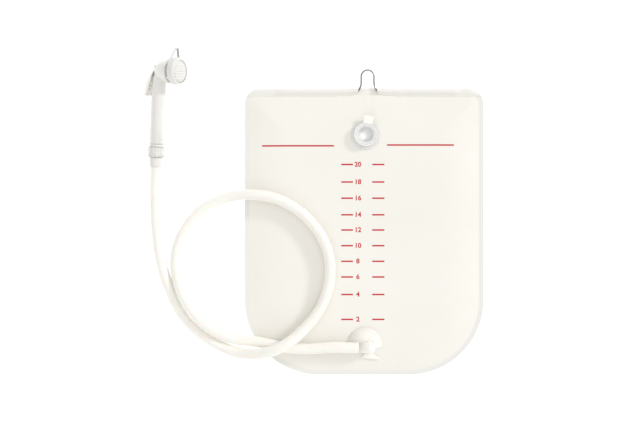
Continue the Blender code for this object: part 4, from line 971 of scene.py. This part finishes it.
hem_sides = [
    grid_piece(f"hem_{word}", hem_side(side), wrap_rows=True, angle=HEM_ANGLE)
    for word, side in (("left", -1), ("right", 1))
]
for hem in hem_sides:
    places = vertex_places(hem.data)
    paint(hem, "weld", HEM_WELD - HEM_WELD_DROP * soft_step(places[:, 2] / HEM_WELD_LOW - 1))
    hem.data.materials.append(milky_film)
    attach(hem, "bag_and_handset")
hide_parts("top_hem")

# %% [markdown]
# ## The printed scale
# A column of red marks runs down the bag, each a dash, a plain number and another dash, with two plain
# rules beside the filler. Screen ink is a thin layer, so it is a thin solid that follows the film. The
# numbers come from Blender's own font, turned into a mesh and laid on the film by the height formula.

# %% Ink shapes
INK_STAND = 0.00006
INK_SINK = 0.00012
BAG_TOP = 0.0094
METRES_PER_PIXEL = (CAMERA_PLACE[2] - BAG_TOP) / (CAMERA_LENS / SENSOR_WIDTH * PICTURE_WIDTH)
SCALE_ROWS = ((20, 164.5), (18, 182.0), (16, 198.2), (14, 214.8), (12, 230.0), (10, 245.7), (8, 261.3))
SCALE_ROWS += ((6, 277.0), (4, 294.5), (2, 319.4))
DASHES = ((341.2, 353.0), (372.2, 384.4))
DASH_HALF = 0.00112
RULES = ((262.0, 334.0, 145.8), (387.0, 454.0, 145.0))
NUMBER_MIDDLE = 357.9
NUMBER_SIZE, NUMBER_SPREAD = 0.0098, 0.00030
BAR_STEP = 0.002


def on_bag(column, row):
    """Where a pixel of the picture falls on the bag."""
    x = CAMERA_PLACE[0] + (column - PICTURE_WIDTH / 2) * METRES_PER_PIXEL
    return x, CAMERA_PLACE[1] - (row - PICTURE_HEIGHT / 2) * METRES_PER_PIXEL


def ink_bar(left, right, middle, half):
    """A flat bar of ink as a closed strip: along it, and round its four sides."""
    x = np.linspace(left, right, max(int((right - left) / BAR_STEP), 4))
    rows = []
    for offset, lift in ((-half, -INK_SINK), (half, -INK_SINK), (half, INK_STAND), (-half, INK_STAND)):
        y = np.full_like(x, middle + offset)
        rows.append(np.stack([x, y, film_top(x, y) + lift], axis=1))
    strip = np.stack(rows, axis=1)
    ends = [strip[:1].mean(axis=1, keepdims=True), strip[-1:].mean(axis=1, keepdims=True)]
    return np.concatenate([np.repeat(ends[0], 4, axis=1), strip, np.repeat(ends[1], 4, axis=1)])


def joined_grids(name, grids):
    """Several closed strips in one mesh."""
    points, faces, count = [], [], 0
    for grid in grids:
        rows, columns = grid.shape[:2]
        faces.append(grid_faces(rows, columns, False) + count)
        points.append(grid.reshape(-1, 3))
        count += rows * columns
    piece = mesh_from_arrays(name, np.concatenate(points), np.concatenate(faces))
    tidy(piece, smooth=False)
    print(name, "has", len(piece.data.polygons), "faces")
    return piece


bars = []
for _, row in SCALE_ROWS:
    for first, last in DASHES:
        left, y = on_bag(first, row)
        bars.append(ink_bar(left, on_bag(last, row)[0], y, DASH_HALF))
for first, last, row in RULES:
    left, y = on_bag(first, row)
    bars.append(ink_bar(left, on_bag(last, row)[0], y, DASH_HALF))
scale_marks = joined_grids("scale_marks", bars)

# %% Numbers


def number_mesh(value, place):
    """One printed number: text made a mesh, then moved to its place and laid on the film."""
    text = bpy.data.curves.new("number", "FONT")
    text.body = str(value)
    text.size = NUMBER_SIZE
    text.align_x, text.align_y = "CENTER", "CENTER"
    text.extrude = (INK_STAND + INK_SINK) / 2
    text.offset = NUMBER_SPREAD
    carrier = bpy.data.objects.new("number", text)
    bpy.context.scene.collection.objects.link(carrier)
    sight = bpy.context.evaluated_depsgraph_get()
    mesh = bpy.data.meshes.new_from_object(carrier.evaluated_get(sight))
    points = vertex_places(mesh)
    points[:, :2] += place
    points[:, 2] += film_top(points[:, 0], points[:, 1]) + (INK_STAND - INK_SINK) / 2
    set_places(mesh, points)
    bpy.data.objects.remove(carrier)
    bpy.data.curves.remove(text)
    return mesh


def joined_meshes(name, meshes):
    work = bmesh.new()
    for mesh in meshes:
        work.from_mesh(mesh)
    joined = bpy.data.meshes.new(name)
    work.to_mesh(joined)
    work.free()
    piece = bpy.data.objects.new(name, joined)
    bpy.context.scene.collection.objects.link(piece)
    return tidy(piece, smooth=False)


scale_numbers = joined_meshes(
    "scale_numbers", [number_mesh(value, on_bag(NUMBER_MIDDLE, row)) for value, row in SCALE_ROWS]
)
print("numbers have", len(scale_numbers.data.polygons), "faces")

# %% Ink finish


def ink_finish():
    """Red screen ink: thin spots let the film show through as a paler red."""
    material, tree, shader, place = new_finish("red_ink")
    light, dark = (0.600, 0.024, 0.032, 1), (0.510, 0.013, 0.022, 1)
    _, skin = surface(tree, shader, place, light, dark, 420.0, 900.0, (0.35, 0.55))
    set_bump(tree, shader, skin["Height"], 0.4, 0.00003)
    return material


red_ink = ink_finish()
for print_piece in (scale_marks, scale_numbers):
    print_piece.data.materials.append(red_ink)
    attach(print_piece, "bag_and_handset")

# %% [markdown]
# ## Floor and light
# The set lies on a wide white floor that also glows, so it shows no shadow, as in the photograph. A soft key
# light comes low from the right and a little from above, which puts the hose's shadow on the bag to its left.
# Two weak broad lights lift the dark sides. Area lamps could do the same, but far lights fall evenly on the
# whole set. The sky is bright overhead and dark lower down, so that chrome and clear vinyl show their shape.

# %% Floor
FLOOR_SIZE = 12.0
FLOOR_GLOW = 0.45
FLOOR_DROP = 0.0002

floor_points = np.array([(-1, -1, 0), (1, -1, 0), (1, 1, 0), (-1, 1, 0)]) * FLOOR_SIZE
floor = mesh_from_arrays("floor", floor_points - (0, 0, FLOOR_DROP), np.array([[0, 1, 2, 3]]))
floor_finish, _, floor_shader, _ = new_finish("floor_white")
set_sockets(
    floor_shader,
    Base_Color=(0.9, 0.9, 0.9, 1),
    Roughness=0.9,
    Specular_IOR_Level=0.0,
    Emission_Color=(1, 1, 1, 1),
    Emission_Strength=FLOOR_GLOW,
)
floor.data.materials.append(floor_finish)

# %% Light
# Name, where the light comes from, strength, and its angle in degrees.
LIGHTS = (
    ("key", (1.9, 1.05, 1.0), 1.15, 9),
    ("top", (-0.3, 0.6, 2.4), 0.10, 60),
    ("fill", (-0.3, -1.6, 1.2), 0.35, 45),
)
SKY_TOP = 0.88
SKY_SIDE = 0.62
SKY_START, SKY_END = 0.05, 0.75


def sun_light(name, place, strength, degrees):
    """A far light: its rays run from the given place to the origin, and its angle softens the shadow."""
    light = bpy.data.lights.new(name, "SUN")
    light.energy, light.angle = strength, math.radians(degrees)
    lamp = bpy.data.objects.new(name, light)
    turn = Vector(place).to_track_quat("Z", "Y").to_matrix().to_4x4()
    lamp.matrix_world = Matrix.Translation(place) @ turn
    bpy.context.scene.collection.objects.link(lamp)


for light_row in LIGHTS:
    sun_light(*light_row)

world = bpy.data.worlds.new("studio")
bpy.context.scene.world = world
world.use_nodes = True
sky_tree = world.node_tree
heading = sky_tree.nodes.new("ShaderNodeTexCoord").outputs["Generated"]
height = node(sky_tree, "ShaderNodeSeparateXYZ", {0: heading}).outputs["Z"]
glow = remap(sky_tree, height, SKY_SIDE, SKY_TOP, SKY_START, SKY_END)
background = sky_tree.nodes["Background"]
sky_tree.links.new(glow, background.inputs["Strength"])
background.inputs["Color"].default_value = (1.0, 0.995, 0.985, 1)
print("lights:", [light.name for light in bpy.data.lights])
